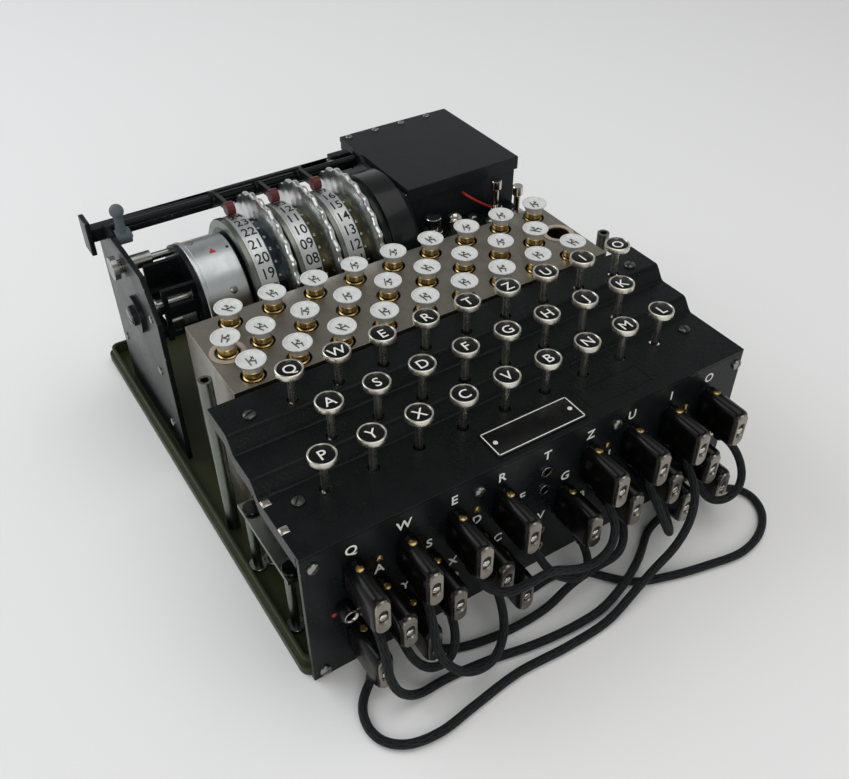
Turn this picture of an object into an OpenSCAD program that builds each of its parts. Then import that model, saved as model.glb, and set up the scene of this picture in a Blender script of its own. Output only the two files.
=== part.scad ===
// Rotor cipher machine, out of its wooden case.
// X runs to the operator's right, Y away from the operator, Z up.
// The origin is the centre of the base tray's underside. Millimetres.

/* [Base] */
// Width of the base tray
base_w = 272; // [270:1:276]
// Height of the tray's moulded rim
rim_h = 11; // [9:0.5:12]
// Thickness of the tray's floor
floor_t = 2.5; // [1.5:0.1:3]

/* [Plug panel] */
// Width of the front panel and of the key cover
panel_w = 265; // [264:1:266]
// Height of the front panel
panel_h = 89.2; // [89:0.1:89.2]
// Thickness of the front panel
panel_t = 3; // [2:0.1:3]
// Distance between neighbouring plug columns
plug_pitch = 27.1; // [27:0.1:27.2]
// Distance between the two sockets of a pair
socket_gap = 12.4; // [12:0.1:12.6]
// Radius of a socket's bore
socket_r = 2; // [1.9:0.1:2.1]

/* [Patch leads] */
// Width of a plug's body
plug_w = 10.2; // [9.6:0.1:11]
// Height of a plug's body
plug_h = 24; // [23.5:0.5:26]
// How far a plug stands out of its sockets
plug_l = 26; // [24:0.5:28]
// Diameter of the braided cord
cord_d = 4.5; // [4:0.1:4.8]

/* [Keyboard] */
// Distance between neighbouring keys, and between neighbouring lamps
key_pitch = 25; // [24.9:0.05:25.1]
// Radius of a key's cap
cap_r = 6.9; // [6.5:0.1:7.2]
// Radius of a key's stem
stem_r = 1.95; // [1.9:0.05:2.1]
// How far a key travels
key_travel = 5; // [3:0.5:5]
// Thickness of the key cover's sheet
cover_t = 1.8; // [1.5:0.1:1.8]

/* [Lamps] */
// Height of the lamp plate's top face
lamp_plate_z = 106.4; // [104:0.1:108]
// Height of the lamps' lens tops
lamp_top_z = 116.5; // [115:0.1:118]
// Radius of a lamp's lens
lens_r = 7.6; // [7:0.1:7.9]

/* [Rotors] */
// Radius of a thumbwheel over its crests
wheel_r = 48.6; // [46:0.1:48.6]
// Radius of a number ring
ring_r = 37.8; // [36:0.1:38]
// Distance between neighbouring rotors
rotor_pitch = 27.8; // [27.6:0.1:28]
// Radius of the through-shaft
shaft_r = 5; // [4.5:0.1:5]
// How far the reflector slides to free the rotors
reflector_travel = 5; // [3:0.5:5]

/* [Battery box] */
// Height of the box under its lid
box_top_z = 122.5; // [115:0.5:124]
// Thickness of the box's walls
box_t = 2; // [1.5:0.1:2.5]

/* [Hidden] */
$fn = 48;
gap = 0.05;             // running clearance of a shaft in its bore
front = -149;           // the front panel's face
back = 149;             // the base tray's rear edge
mid_x = 3.5;            // the middle of the tray, the panel and the cover
across = [mid_x - panel_w / 2, mid_x + panel_w / 2];

// Keys and lamps: one list of letters for each row, front to back
ROWS = [
    ["p", "y", "x", "c", "v", "b", "n", "m", "l"],
    ["a", "s", "d", "f", "g", "h", "j", "k"],
    ["q", "w", "e", "r", "t", "z", "u", "i", "o"],
];
KEYS = [for (row = ROWS) for (letter = row) letter];
row_x = [-100, -84.5, -92];              // first key of each row
key_y = [-118.6, -97, -72.8];
terrace_z = [91, 98.5, 106.5];           // cover's top face at each row
key_top_z = [113, 120.7, 126.1];
lamp_y = [-45.7, -23.2, 0.5];
test_lamp = [-103.5, -22.4];
test_hole = [109, -22.4];
cap_h = 3.2;
stem_foot_z = 48;
guide_z = [62, 64];                      // plate that guides the stems
guide_x = [-109.5, 112.5];               // its two legs
leg_t = 2.5;
collar_z = 76;                           // the stem's collar, on its return spring

// Plug sockets: first column of each row, and the height midway between the two sockets of a pair
socket_x = [-104.3, -90.9, -104.3];
socket_z = [20.8, 42.9, 64.3];
socket_count = [9, 8, 9];
panel_screws = [[-123, 82], [-123, 5], [132.5, 82], [132.5, 5], [-36.2, 79.6], [48.4, 80.2]];
test_sockets_x = [-110.2, 118.2];
test_socket_z = 46.8;

// Cover: where its two steps begin and end, and its rear edge
step_1 = [-110, -102];
step_2 = [-86, -78];
cover_back = -57;
step_facets = 8;
skirt_h = 9;

// Posts on each side, measured outwards from the middle: two that carry the cover, a free one,
// and two thin ones under a flat stay
post_r = 3.6;
post_bore_r = 2.1;
cover_posts = [[117.6, -119.2, 0], [117.6, -72.1, 2]];   // x, y, terrace
free_post = [126, -39.5, 109];
stay_posts = [[126.3, -117], [126.3, -72]];
stay_post_r = 2.5;
stay_x = [114.5, 129.5];
stay_y = [-123, -65];
stay_z = [43, 45.5];

// Lamp plate
lamp_x = [-114, 119.5];
lamp_plate_y = [-54, 9.5];
lamp_t = 1.5;
lamp_hole_r = 6.6;
lamp_board_z = 80;

// Rotor stack
axis_y = 60;
axis_z = 88;
rotor_x = [for (i = [0 : 2]) -57.4 + i * rotor_pitch];   // number rings' centres
shoulder_x = -8.6;
ring_x = [-5.1, 5.4];
core_end = 11.6;
wheel_t = 3.5;
hub_end = 17.4;
core_r = 33;
positions = 26;
drum_x = [-93, -67];
drum_r = 31;
plate_t = 3;
left_plate_x = -124.5;
right_plate_x = 38;
entry_x = 18;

// Guide rods of the reflector: y, z
rod_a = [77.5, 110];
rod_b = [48, 97];
rod_a_r = 2.2;
rod_b_r = 2.5;

// Top bar, the rods that the detent arms, the lever and the pawls turn on
bar_x = [-131, 41];
bar_y = [102, 110];
bar_z = [114.5, 122.5];
pivot = [97.5, 123.5];
lever_pivot = [89.5, 121];
pivot_r = 2.2;
roller_r = 4;
roller_angle = 20;
pawl_pivot = [115, 35];

// Battery box
box_x = [43.5, 123];
box_y = [41, 125];
hinge = [127.2, box_top_z];
ledge_z = 94;
ledge_y = [12, 40.5];
knob_at = [52.7, 28];
dome_at = [71, 32];
terminal_at = [[110, 20], [103, 33]];
slot_screws = [[86, 34], [93, 24]];

// A plug's cord leaves its underside through a gland, half down and half towards its turn:
// 0 is forwards, 90 to the right
gland_l = 5;
gland_r = 3.4;
gland_y = front - 15;
gland_drop = 11.5;

// Patch leads: the two sockets that each joins, as row, place and the plug's turn, and where its
// cord hangs or lies on the table between them
LEADS = [
    // Q to M: down to the table and along the front, over the C to L lead
    [[2, 0, 0], [0, 7, -90], [[-105, -176.5, 41], [-106, -182, 28], [-102, -184.5, 15],
        [-92.5, -184.5, 5.5], [-78, -183, 2.5], [-55, -185.5, 2.5], [-30, -190.5, 2.5],
        [-5, -193, 2.5], [14, -193, 4], [30, -189.5, 8.2], [46, -182, 7], [59, -173.5, 2.8],
        [70, -166, 2.5]]],
    // P to I: round the left end, along the table outside the others, and up to the right
    [[0, 0, -60], [2, 7, 0], [[-114.8, -171, 2.5], [-119.5, -180, 2.5], [-119, -192, 2.5],
        [-110.5, -201, 2.5], [-96, -204.5, 2.5], [-72, -202, 2.5], [-45, -199, 2.5],
        [-15, -200.5, 2.5], [14, -199.5, 3.2], [31, -196, 7.5], [49, -192, 11],
        [63, -190.5, 17.5], [74, -187.5, 28], [81, -181.5, 39.5]]],
    // E to Z: to the right, in front of the D plug and under the R plug
    [[2, 2, 0], [2, 5, 0], [[-48, -175, 43.5], [-40.5, -181, 42], [-28, -183, 43.5],
        [-14, -181.5, 40.5], [-1, -181.5, 32.5], [12, -181.5, 27.5], [24, -181, 31],
        [30.6, -176, 40.5]]],
    // C to L: behind the plugs, on the table, and round a wide loop at the right
    [[0, 3, 90], [0, 8, 90], [[-10.5, -163.5, 2.5], [5, -162.3, 2.5], [18, -166, 2.5],
        [28, -177, 2.5], [39, -188.5, 2.5], [55, -195, 2.5], [80, -201.5, 2.5],
        [105, -205, 2.5], [124, -199, 2.5], [135.5, -187.5, 2.5], [137.5, -176, 2.5],
        [131, -167, 2.5]]],
    // A to S
    [[1, 0, 0], [1, 1, 0], [[-89.6, -174.5, 20.5], [-85.5, -179.5, 15.2],
        [-77.4, -181.5, 13], [-69.3, -179.5, 15.2], [-65.2, -174.5, 20.5]]],
    // W to D
    [[2, 1, 0], [1, 2, 0], [[-79, -176, 40], [-80.5, -184.5, 27], [-72, -191, 15.5],
        [-57.5, -192, 11], [-45, -185.5, 12]]],
    // Y to H: along the table, under the C and G plugs
    [[0, 1, 60], [1, 5, 0], [[-64, -171, 2.5], [-48, -175.5, 2.5], [-28, -177.5, 2.5],
        [-9, -177.5, 4.5], [6, -176, 10], [22, -176.5, 14], [36, -177.5, 17.5]]],
    // R to G
    [[2, 3, 90], [1, 4, 0], [[-14, -167, 42], [-10.5, -171.5, 32], [-3.5, -177, 23.5],
        [7, -179.5, 19], [15, -177, 19.5]]],
    // U to J
    [[2, 6, 0], [1, 6, 0], [[58.2, -176.5, 41], [58.6, -183.5, 33], [62, -185.5, 24],
        [68.4, -180, 19.5]]],
    // O to K
    [[2, 8, 90], [1, 7, 0], [[122, -167, 42.5], [124, -174.5, 33.5], [119, -181.5, 26],
        [109.5, -182.5, 20], [101.5, -178.5, 19.5]]],
];
PLUGS = [for (lead = LEADS) each [lead[0], lead[1]]];
tube_sides = 8;

// The red wire runs from the battery box's front wall to the rear clamp terminal
wire_d = 1.6;
WIRE = [[83, 41, 112], [83, 38, 112], [85, 35.5, 110.5], [89, 34, 107.5], [94, 33.5, 104],
    [98, 33.3, 101.4], [100.5, 33.2, 99.8]];

// ---- Helpers ----

// A box from its lowest corner to its highest
module box(x, y, z) {
    translate([x[0], y[0], z[0]]) cube([x[1] - x[0], y[1] - y[0], z[1] - z[0]]);
}

// A rectangle with round corners, centred
module round_rect(w, d, r) {
    square([w - 2 * r, d], center = true);
    square([w, d - 2 * r], center = true);
    for (sx = [-1, 1], sy = [-1, 1])
        translate([sx * (w / 2 - r), sy * (d / 2 - r)]) circle(r);
}

// A cylinder along X between two x values, centred on [y, z]
module bar_along_x(x, at, r) {
    translate([x[0], at[0], at[1]]) rotate([0, 90, 0]) cylinder(h = x[1] - x[0], r = r);
}

// A cylinder along Y between two y values, centred on [x, z]
module bar_along_y(y, at, r) {
    translate([at[0], y[1], at[1]]) rotate([90, 0, 0]) cylinder(h = y[1] - y[0], r = r);
}

// A [y, z] outline carried along X
module along_x(x, outline) {
    translate([x[0], 0, 0]) rotate([90, 0, 90]) linear_extrude(x[1] - x[0]) polygon(outline);
}

function row_of(i) = i < 9 ? 0 : i < 17 ? 1 : 2;
function place_in_row(i) = i < 9 ? i : i < 17 ? i - 9 : i - 17;
function key_x(row, i) = row_x[row] + i * key_pitch;
function column_x(row, i) = socket_x[row] + i * plug_pitch;
function smooth(t) = t * t * (3 - 2 * t);

// Points of one rounded step of the cover, from [y, z] to [y, z]
function step_points(y, z0, z1) =
    [for (i = [0 : step_facets]) let (t = i / step_facets)
        [y[0] + (y[1] - y[0]) * t, z0 + (z1 - z0) * smooth(t)]];

// The cover's top line, front to back, lowered by d
function cover_line(d, y0 = front) = [for (p = concat(
    [[y0, terrace_z[0]]],
    step_points(step_1, terrace_z[0], terrace_z[1]),
    step_points(step_2, terrace_z[1], terrace_z[2]),
    [[cover_back, terrace_z[2]]])) [p[0], p[1] - d]];

function reversed(list) = [for (i = [len(list) - 1 : -1 : 0]) list[i]];

// ---- Base, posts and front panel ----

module base_tray() {
    depth = back - front - panel_t;
    color("darkolivegreen") translate([mid_x, (back + front + panel_t) / 2, 0]) difference() {
        union() {
            linear_extrude(rim_h - 5) round_rect(base_w, depth, 6);
            linear_extrude(rim_h) round_rect(base_w - 4, depth - 4, 5);
        }
        translate([0, 0, floor_t]) linear_extrude(rim_h) round_rect(base_w - 8, depth - 8, 4);
    }
}

// A hollow post on the tray's floor
module post(x, y, top) {
    translate([x, y, floor_t]) difference() {
        cylinder(h = top - floor_t, r = post_r);
        translate([0, 0, top - floor_t - 20]) cylinder(h = 21, r = post_bore_r);
    }
}

module chassis_posts() {
    color("gray") translate([mid_x, 0, 0]) for (side = [-1, 1]) {
        for (p = cover_posts) post(side * p[0], p[1], terrace_z[p[2]] - cover_t);
        post(side * free_post[0], free_post[1], free_post[2]);
        for (p = stay_posts) translate([side * p[0], p[1], floor_t])
            cylinder(h = stay_z[1] - floor_t, r = stay_post_r);
        // The flat stay has a clearance hole for each thin post
        difference() {
            box(side < 0 ? [-stay_x[1], -stay_x[0]] : stay_x, stay_y, stay_z);
            for (p = stay_posts) translate([side * p[0], p[1], stay_z[0] - 1])
                cylinder(h = stay_z[1] - stay_z[0] + 2, r = stay_post_r + gap);
        }
    }
}

module front_panel() {
    color("black") difference() {
        box(across, [front, front + panel_t], [0, panel_h]);
        for (row = [0 : 2], i = [0 : socket_count[row] - 1], s = [-0.5, 0.5])
            bar_along_y([front - 1, front + panel_t + 1],
                [column_x(row, i), socket_z[row] + s * socket_gap], 2.95);
        for (x = test_sockets_x)
            bar_along_y([front - 1, front + panel_t + 1], [x, test_socket_z], 4);
    }
}

module slotted_head(r, h) {
    difference() {
        intersection() {
            cylinder(h = h, r = r);
            translate([0, 0, h - 1.4 * r]) sphere(r = 1.4 * r);
        }
        translate([-r, -0.4, h - 0.7]) cube([2 * r, 0.8, 1]);
    }
}

module case_screws() {
    color("silver") {
        for (at = panel_screws)
            translate([at[0], front, at[1]]) rotate([90, 25, 0]) slotted_head(3, 1.8);
        for (side = [-1, 1], p = cover_posts)
            translate([mid_x + side * p[0], p[1], terrace_z[p[2]]]) slotted_head(3.2, 1.6);
    }
}

module plug_sockets() {
    color("silver") for (row = [0 : 2], i = [0 : socket_count[row] - 1], s = [-0.5, 0.5]) {
        at = [column_x(row, i), socket_z[row] + s * socket_gap];
        difference() {
            union() {
                bar_along_y([front - 1, front], at, 3.3);
                bar_along_y([front, front + 21], at, 2.9);
            }
            bar_along_y([front - 2, front + 19], at, socket_r);
        }
    }
}

module test_sockets() {
    color("dimgray") for (x = test_sockets_x) {
        at = [x, test_socket_z];
        difference() {
            union() {
                bar_along_y([front - 8, front], at, 4.6);
                bar_along_y([front, front + 16], at, 3.9);
            }
            bar_along_y([front - 9, front + 12], at, socket_r);
            difference() {
                bar_along_y([front - 9, front - 7.5], at, 6);
                bar_along_y([front - 9, front - 7], at, 3.8);
            }
        }
    }
}

// ---- Key cover, keys and what is under them ----

module key_cover() {
    skirt_front = front + panel_t + 0.5;
    color("black") difference() {
        union() {
            along_x(across, concat(cover_line(0), reversed(cover_line(cover_t))));
            along_x(across, [
                [cover_back, terrace_z[2]], [cover_back, terrace_z[2] - 8],
                [cover_back - cover_t, terrace_z[2] - 8], [cover_back - cover_t, terrace_z[2]]]);
            for (x = [across[0], across[1] - cover_t])
                along_x([x, x + cover_t], concat(cover_line(cover_t / 2, skirt_front),
                    reversed(cover_line(skirt_h, skirt_front))));
        }
        for (i = [0 : len(KEYS) - 1]) {
            row = row_of(i);
            translate([key_x(row, place_in_row(i)), key_y[row], terrace_z[row] - 4])
                cylinder(h = 5, r = stem_r + 1);
        }
    }
}

module key(i) {
    row = row_of(i);
    top = key_top_z[row];
    color("silver") translate([key_x(row, place_in_row(i)), key_y[row], 0]) {
        translate([0, 0, stem_foot_z]) cylinder(h = top - cap_h - stem_foot_z, r = stem_r);
        translate([0, 0, collar_z]) cylinder(h = 2, r = 3.2);
        difference() {
            union() {
                translate([0, 0, top - cap_h]) cylinder(h = cap_h, r = cap_r);
                translate([0, 0, top - cap_h - 1.2]) cylinder(h = 1.2, r1 = stem_r, r2 = 4.5);
            }
            translate([0, 0, top - 0.7]) cylinder(h = 1, r = cap_r - 1);
        }
    }
}

// Guide plate on two legs, with a return spring round each stem at its compressed height
module key_frame() {
    color("dimgray") difference() {
        union() {
            box([guide_x[0], guide_x[1] + leg_t], [-128, -62], guide_z);
            for (x = guide_x) box([x, x + leg_t], [-128, -62], [floor_t, guide_z[0]]);
            for (i = [0 : len(KEYS) - 1])
                translate([key_x(row_of(i), place_in_row(i)), key_y[row_of(i)], guide_z[1]])
                    cylinder(h = collar_z - key_travel - 0.3 - guide_z[1], r = 3.6);
        }
        for (i = [0 : len(KEYS) - 1])
            translate([key_x(row_of(i), place_in_row(i)), key_y[row_of(i)], guide_z[0] - 1])
                cylinder(h = 20, r = stem_r + gap);
    }
}

// Insulating boards with the key contacts and under the lamps
module contact_boards() {
    color("saddlebrown") {
        for (row = [0 : 2]) {
            box([guide_x[0] + leg_t, guide_x[1]], [key_y[row] - 6, key_y[row] + 6], [30, 36]);
            for (i = [0 : socket_count[row] - 1])
                translate([key_x(row, i), key_y[row], 36]) cylinder(h = 4, r = 2);
        }
        box([lamp_x[0] + lamp_t, lamp_x[1] - lamp_t], [-50, 6], [lamp_board_z, lamp_board_z + 3]);
    }
}

// ---- Lamps ----

module lamp_plate() {
    color("darkgray") difference() {
        union() {
            box(lamp_x, lamp_plate_y, [lamp_plate_z - lamp_t, lamp_plate_z]);
            box([lamp_x[0], lamp_x[0] + lamp_t], lamp_plate_y, [floor_t, lamp_plate_z - lamp_t]);
            box([lamp_x[1] - lamp_t, lamp_x[1]], lamp_plate_y, [floor_t, lamp_plate_z - lamp_t]);
            box(lamp_x, [lamp_plate_y[0], lamp_plate_y[0] + lamp_t],
                [lamp_plate_z - 9, lamp_plate_z - lamp_t]);
        }
        for (row = [0 : 2], i = [0 : socket_count[row] - 1])
            translate([key_x(row, i), lamp_y[row], lamp_plate_z - 3])
                cylinder(h = 5, r = lamp_hole_r);
        for (at = [test_lamp, test_hole])
            translate([at[0], at[1], lamp_plate_z - 3]) cylinder(h = 5, r = lamp_hole_r);
    }
}

module lamp(at) {
    translate([at[0], at[1], lamp_board_z + 3]) {
        cylinder(h = lamp_top_z - lamp_board_z - 8, r = 5.4);
        translate([0, 0, lamp_top_z - lamp_board_z - 8]) cylinder(h = 2.2, r1 = 5.4, r2 = lens_r);
        translate([0, 0, lamp_top_z - lamp_board_z - 5.8]) cylinder(h = 2.8, r = lens_r);
    }
}

module lamp_bulbs() {
    color("white") {
        for (row = [0 : 2], i = [0 : socket_count[row] - 1]) lamp([key_x(row, i), lamp_y[row]]);
        lamp(test_lamp);
    }
}

// ---- Rotor frame ----

frame_outline = [[23.5, floor_t], [23.5, 102], [39, 123.8], [88, 123.8], [92, 127.5],
    [100.5, 127.5], [100.5, bar_z[0]], [118, bar_z[0]], [118, floor_t]];

module left_frame_plate() {
    color("dimgray") {
        along_x([left_plate_x, left_plate_x + plate_t], frame_outline);
        bar_along_x([left_plate_x - 2.5, left_plate_x], [axis_y, axis_z], 11);
        bar_along_x([left_plate_x - 5, left_plate_x - 2.5], [axis_y, axis_z], 6);
    }
}

// The right plate carries a ledge for the selector and the terminals
module right_frame_plate() {
    color("dimgray") {
        along_x([right_plate_x, right_plate_x + plate_t], frame_outline);
        box([right_plate_x + plate_t, 119], ledge_y, [ledge_z, ledge_z + 2.5]);
        box([116.5, 119], ledge_y, [floor_t, ledge_z]);
    }
}

// Through-shaft, the reflector's two guide rods, and the rods of the detent arms, lever and pawls
module rotor_rods() {
    inner = left_plate_x + plate_t;
    color("silver") {
        bar_along_x([inner, right_plate_x], [axis_y, axis_z], shaft_r);
        bar_along_x([inner, drum_x[0]], rod_a, rod_a_r);
        bar_along_x([inner, -107], rod_a, 4.4);
        bar_along_x([inner, drum_x[0]], rod_b, rod_b_r);
        bar_along_x([inner, -117], rod_b, 5);
        bar_along_x([inner, -111.5], lever_pivot, pivot_r);
        for (at = [pivot, pawl_pivot]) bar_along_x([inner, right_plate_x], at, pivot_r);
        bar_along_x([left_plate_x - 2, left_plate_x], rod_a, 4);
        bar_along_x([left_plate_x - 5.5, left_plate_x - 2], rod_a, 6.8);
    }
}

module reflector_bracket() {
    plate_x = [drum_x[0] - 3, drum_x[0]];
    arm_x = [-115, plate_x[0]];
    color("black") difference() {
        union() {
            bar_along_x(plate_x, [axis_y, axis_z], drum_r + 0.5);
            box(arm_x, [39, 42], [80, 111]);
            box(arm_x, [66, 69], [80, 112]);
            box([arm_x[0], arm_x[0] + 3], [42, 66], [76, 82.5]);
        }
        box([-112, plate_x[0] - 2], [38, 43], [100, 108]);
        box([-112, plate_x[0] - 2], [38, 43], [84, 92]);
        bar_along_x([arm_x[0] - 1, drum_x[0] + 1], [axis_y, axis_z], shaft_r + gap);
        bar_along_x([arm_x[0] - 1, drum_x[0] + 1], rod_a, rod_a_r + gap);
        bar_along_x([arm_x[0] - 1, drum_x[0] + 1], rod_b, rod_b_r + gap);
    }
}

module reflector_drum() {
    color("silver") difference() {
        union() {
            bar_along_x([drum_x[0], drum_x[0] + 2], [axis_y, axis_z], drum_r + 0.8);
            bar_along_x([drum_x[0] + 2, drum_x[1]], [axis_y, axis_z], drum_r);
        }
        bar_along_x([drum_x[0] - 1, drum_x[1] + 1], [axis_y, axis_z], shaft_r + gap);
        bar_along_x([drum_x[0] - 1, drum_x[0] + reflector_travel + 1], rod_a, rod_a_r + gap);
        bar_along_x([drum_x[0] - 1, drum_x[0] + reflector_travel + 1], rod_b, rod_b_r + gap);
    }
}

// Core with its thumbwheel, hub and spring contacts
module rotor_core(n) {
    x = rotor_x[n];
    color("olive") difference() {
        union() {
            bar_along_x([x + shoulder_x, x + core_end], [axis_y, axis_z], core_r);
            bar_along_x([x + core_end, x + core_end + wheel_t], [axis_y, axis_z], wheel_r);
            bar_along_x([x + core_end + wheel_t, x + hub_end], [axis_y, axis_z], 20);
            for (i = [0 : positions - 1]) {
                a = i * 360 / positions;
                bar_along_x([x + hub_end, x + hub_end + 1.3],
                    [axis_y + 15 * sin(a), axis_z + 15 * cos(a)], 0.9);
            }
        }
        bar_along_x([x - 20, x + 30], [axis_y, axis_z], shaft_r + gap);
        for (i = [0 : positions - 1]) {
            a = (i + 0.5) * 360 / positions;
            bar_along_x([x + core_end - 1, x + core_end + wheel_t + 1],
                [axis_y + (wheel_r + 2.2) * sin(a), axis_z + (wheel_r + 2.2) * cos(a)], 4);
        }
    }
}

module rotor_ring(n) {
    x = rotor_x[n];
    color("silver") difference() {
        union() {
            bar_along_x([x + shoulder_x, x + ring_x[0]], [axis_y, axis_z], ring_r + 0.4);
            bar_along_x([x + ring_x[0], x + ring_x[1]], [axis_y, axis_z], ring_r);
        }
        bar_along_x([x - 20, x + 20], [axis_y, axis_z], core_r + gap);
    }
}

module entry_disc() {
    color("saddlebrown") difference() {
        union() {
            bar_along_x([entry_x, entry_x + 4], [axis_y, axis_z], 38);
            bar_along_x([entry_x + 4, right_plate_x], [axis_y, axis_z], 41);
        }
        bar_along_x([entry_x - 1, right_plate_x + 1], [axis_y, axis_z], shaft_r + gap);
    }
}

// ---- Bar, lever, detents and pawls ----

module top_bar() {
    color("black") {
        difference() {
            box(bar_x, bar_y, bar_z);
            box([bar_x[0] + 12, bar_x[1] - 8], [bar_y[0] - 1, bar_y[0] + 1.2],
                [bar_z[0] + 3, bar_z[0] + 5.5]);
        }
        box([bar_x[0] - 3, bar_x[0]], [99, 112], [108, 129]);
        box([right_plate_x - 14, right_plate_x], [bar_y[0] + 1, bar_y[1] - 1],
            [bar_z[1], bar_z[1] + 3]);
    }
}

module release_lever() {
    x = [-121, -112.5];
    color("slategray") difference() {
        union() {
            bar_along_x(x, lever_pivot, 4.5);
            translate([-117, lever_pivot[0], lever_pivot[1]]) {
                cylinder(h = 8, r1 = 4, r2 = 2.6);
                cylinder(h = 15, r = 2.6);
                translate([0, 0, 16]) sphere(r = 4);
            }
        }
        bar_along_x([x[0] - 1, x[1] + 1], lever_pivot, pivot_r + gap);
    }
}

module detent_arms() {
    reach = ring_r + roller_r + 0.4;
    roller = [axis_y + reach * sin(roller_angle), axis_z + reach * cos(roller_angle)];
    color("black") for (x = rotor_x) {
        bar_along_x([x - 2.5, x + 2.5], roller, roller_r);
        difference() {
            union() {
                bar_along_x([x - 2.5, x + 2.5], pivot, 4.5);
                along_x([x - 1.2, x + 1.2], [
                    [pivot[0], pivot[1] - 1.5], [pivot[0], pivot[1] + 4.4],
                    [roller[0], roller[1] + 2.5], [roller[0], roller[1] - 2.5]]);
            }
            bar_along_x([x - 5, x + 5], pivot, pivot_r + gap);
        }
    }
    // A thin strip ties the three arms together
    color("black") box([rotor_x[0], rotor_x[2]], [pivot[0] - 1.5, pivot[0] + 1.5],
        [pivot[1] + 3.8, pivot[1] + 5]);
}

module pawl_bar() {
    color("silver") difference() {
        union() {
            bar_along_x([-62, 20], pawl_pivot, 4.5);
            for (x = rotor_x)
                box([x + core_end, x + core_end + wheel_t], [113.5, 116.5], [37, 84]);
        }
        bar_along_x([-63, 21], pawl_pivot, pivot_r + gap);
    }
}

// ---- Battery box, selector and terminals ----

module battery_box() {
    pin_r = 0.8;
    color("black") {
        difference() {
            box(box_x, box_y, [floor_t, box_top_z]);
            box([box_x[0] + box_t, box_x[1] - box_t], [box_y[0] + box_t, box_y[1] - box_t],
                [floor_t + box_t, box_top_z + 1]);
        }
        for (x = [52, 106]) {
            bar_along_x([x, x + 8], hinge, 2);
            box([x, x + 8], [box_y[1], hinge[0] + 1], [hinge[1] - 4, hinge[1] - 1]);
        }
        bar_along_x([52, 114], hinge, pin_r);
    }
}

module battery_lid() {
    color("black") difference() {
        union() {
            box([42, 124.5], [39.5, box_y[1]], [box_top_z, box_top_z + 3.5]);
            box([42, 124.5], [39.5, 40.7], [box_top_z - 5, box_top_z]);
            for (x = [42, 123.3]) box([x, x + 1.2], [39.5, 124], [box_top_z - 5, box_top_z]);
            box([60.3, 105.7], [box_y[1], hinge[0]], [box_top_z, box_top_z + 2]);
            bar_along_x([60.3, 105.7], hinge, 2);
        }
        bar_along_x([60, 106], hinge, 0.8 + gap);
    }
}

module battery() {
    color("tan") {
        box([50, 117], [48, 118], [floor_t + box_t, 88]);
        for (x = [62, 104]) box([x, x + 6], [80, 81], [88, 93]);
    }
}

module selector_knob() {
    color("gray") translate([knob_at[0], knob_at[1], ledge_z + 2.5]) {
        cylinder(h = 5, r = 6);
        translate([0, 0, 5]) cylinder(h = 4, r = 3.2);
        translate([0, 0, 9]) cylinder(h = 5, r = 5);
    }
}

// Two clamp terminals, a dome nut, slotted screws, and the red wire from the box to a terminal
module terminals() {
    color("silver") {
        for (at = terminal_at) translate([at[0], at[1], ledge_z + 2.5]) {
            cylinder(h = 4, r = 4.5);
            translate([0, 0, 4]) cylinder(h = 12, r = 2);
            translate([0, 0, 16]) cylinder(h = 6, r = 3.4);
        }
        translate([dome_at[0], dome_at[1], ledge_z + 2.5]) {
            cylinder(h = 4, r = 5.5);
            translate([0, 0, 4]) intersection() {
                sphere(r = 5.5);
                cylinder(h = 6, r = 6);
            }
        }
        for (at = slot_screws) translate([at[0], at[1], ledge_z + 2.5]) slotted_head(3.4, 2.4);
    }
    color("red") tube(WIRE, [0, -1, 0], [0.8, 0, -0.6], wire_d, 6);
}

// ---- Patch leads ----

module stadium(w, h) {
    square([w, h - w], center = true);
    for (s = [-1, 1]) translate([0, s * (h - w) / 2]) circle(w / 2);
}

module plug(row, i, turn) {
    translate([column_x(row, i), front - 1.05, socket_z[row]]) {
        difference() {
            union() {
                rotate([90, 0, 0]) linear_extrude(plug_l - 4) stadium(plug_w, plug_h);
                translate([0, 4 - plug_l, 0]) rotate([90, 0, 0]) linear_extrude(2.4)
                    stadium(plug_w - 1, plug_h - 1);
                translate([0, 1.6 - plug_l, 0]) rotate([90, 0, 0]) linear_extrude(1.6)
                    stadium(plug_w - 1.8, plug_h - 2);
            }
            translate([0, 1.2 - plug_l, 0]) rotate([90, 0, 0]) linear_extrude(3)
                stadium(5.2, 10);
        }
        for (s = [-0.5, 0.5]) translate([0, 12, s * socket_gap]) rotate([90, 0, 0])
            cylinder(h = 12.5, r = socket_r - gap);
        translate([0, gland_y - front + 1.05, -gland_drop]) rotate([0, 0, turn])
            rotate([135, 0, 0]) cylinder(h = gland_l, r = gland_r);
    }
}

module patch_plugs() {
    color("black") for (p = PLUGS) plug(p[0], p[1], p[2]);
}

// The direction in which a cord leaves a plug with this turn, the point where it does, and its
// whole route
function exit_dir(turn) = [sin(turn), -cos(turn), -1] / sqrt(2);
function lead_end(at) =
    [column_x(at[0], at[1]), gland_y, socket_z[at[0]] - gland_drop] + gland_l * exit_dir(at[2]);
function route(lead) = concat([lead_end(lead[0])], lead[2], [lead_end(lead[1])]);
function unit(v) = v / norm(v);

// The direction of a route at point i: given at its two ends, else along its neighbours
function heading(r, i, first_dir, last_dir) =
    i == 0 ? first_dir : i == len(r) - 1 ? last_dir : unit(r[i + 1] - r[i - 1]);

// One ring of a tube of diameter d, square to its heading
function tube_ring(p, along, d, n) =
    let (side = unit(cross(along, [0, 0, 1])), over = cross(side, along))
    [for (k = [0 : n - 1]) let (a = k * 360 / n) p + d / 2 * (cos(a) * side + sin(a) * over)];

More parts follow.
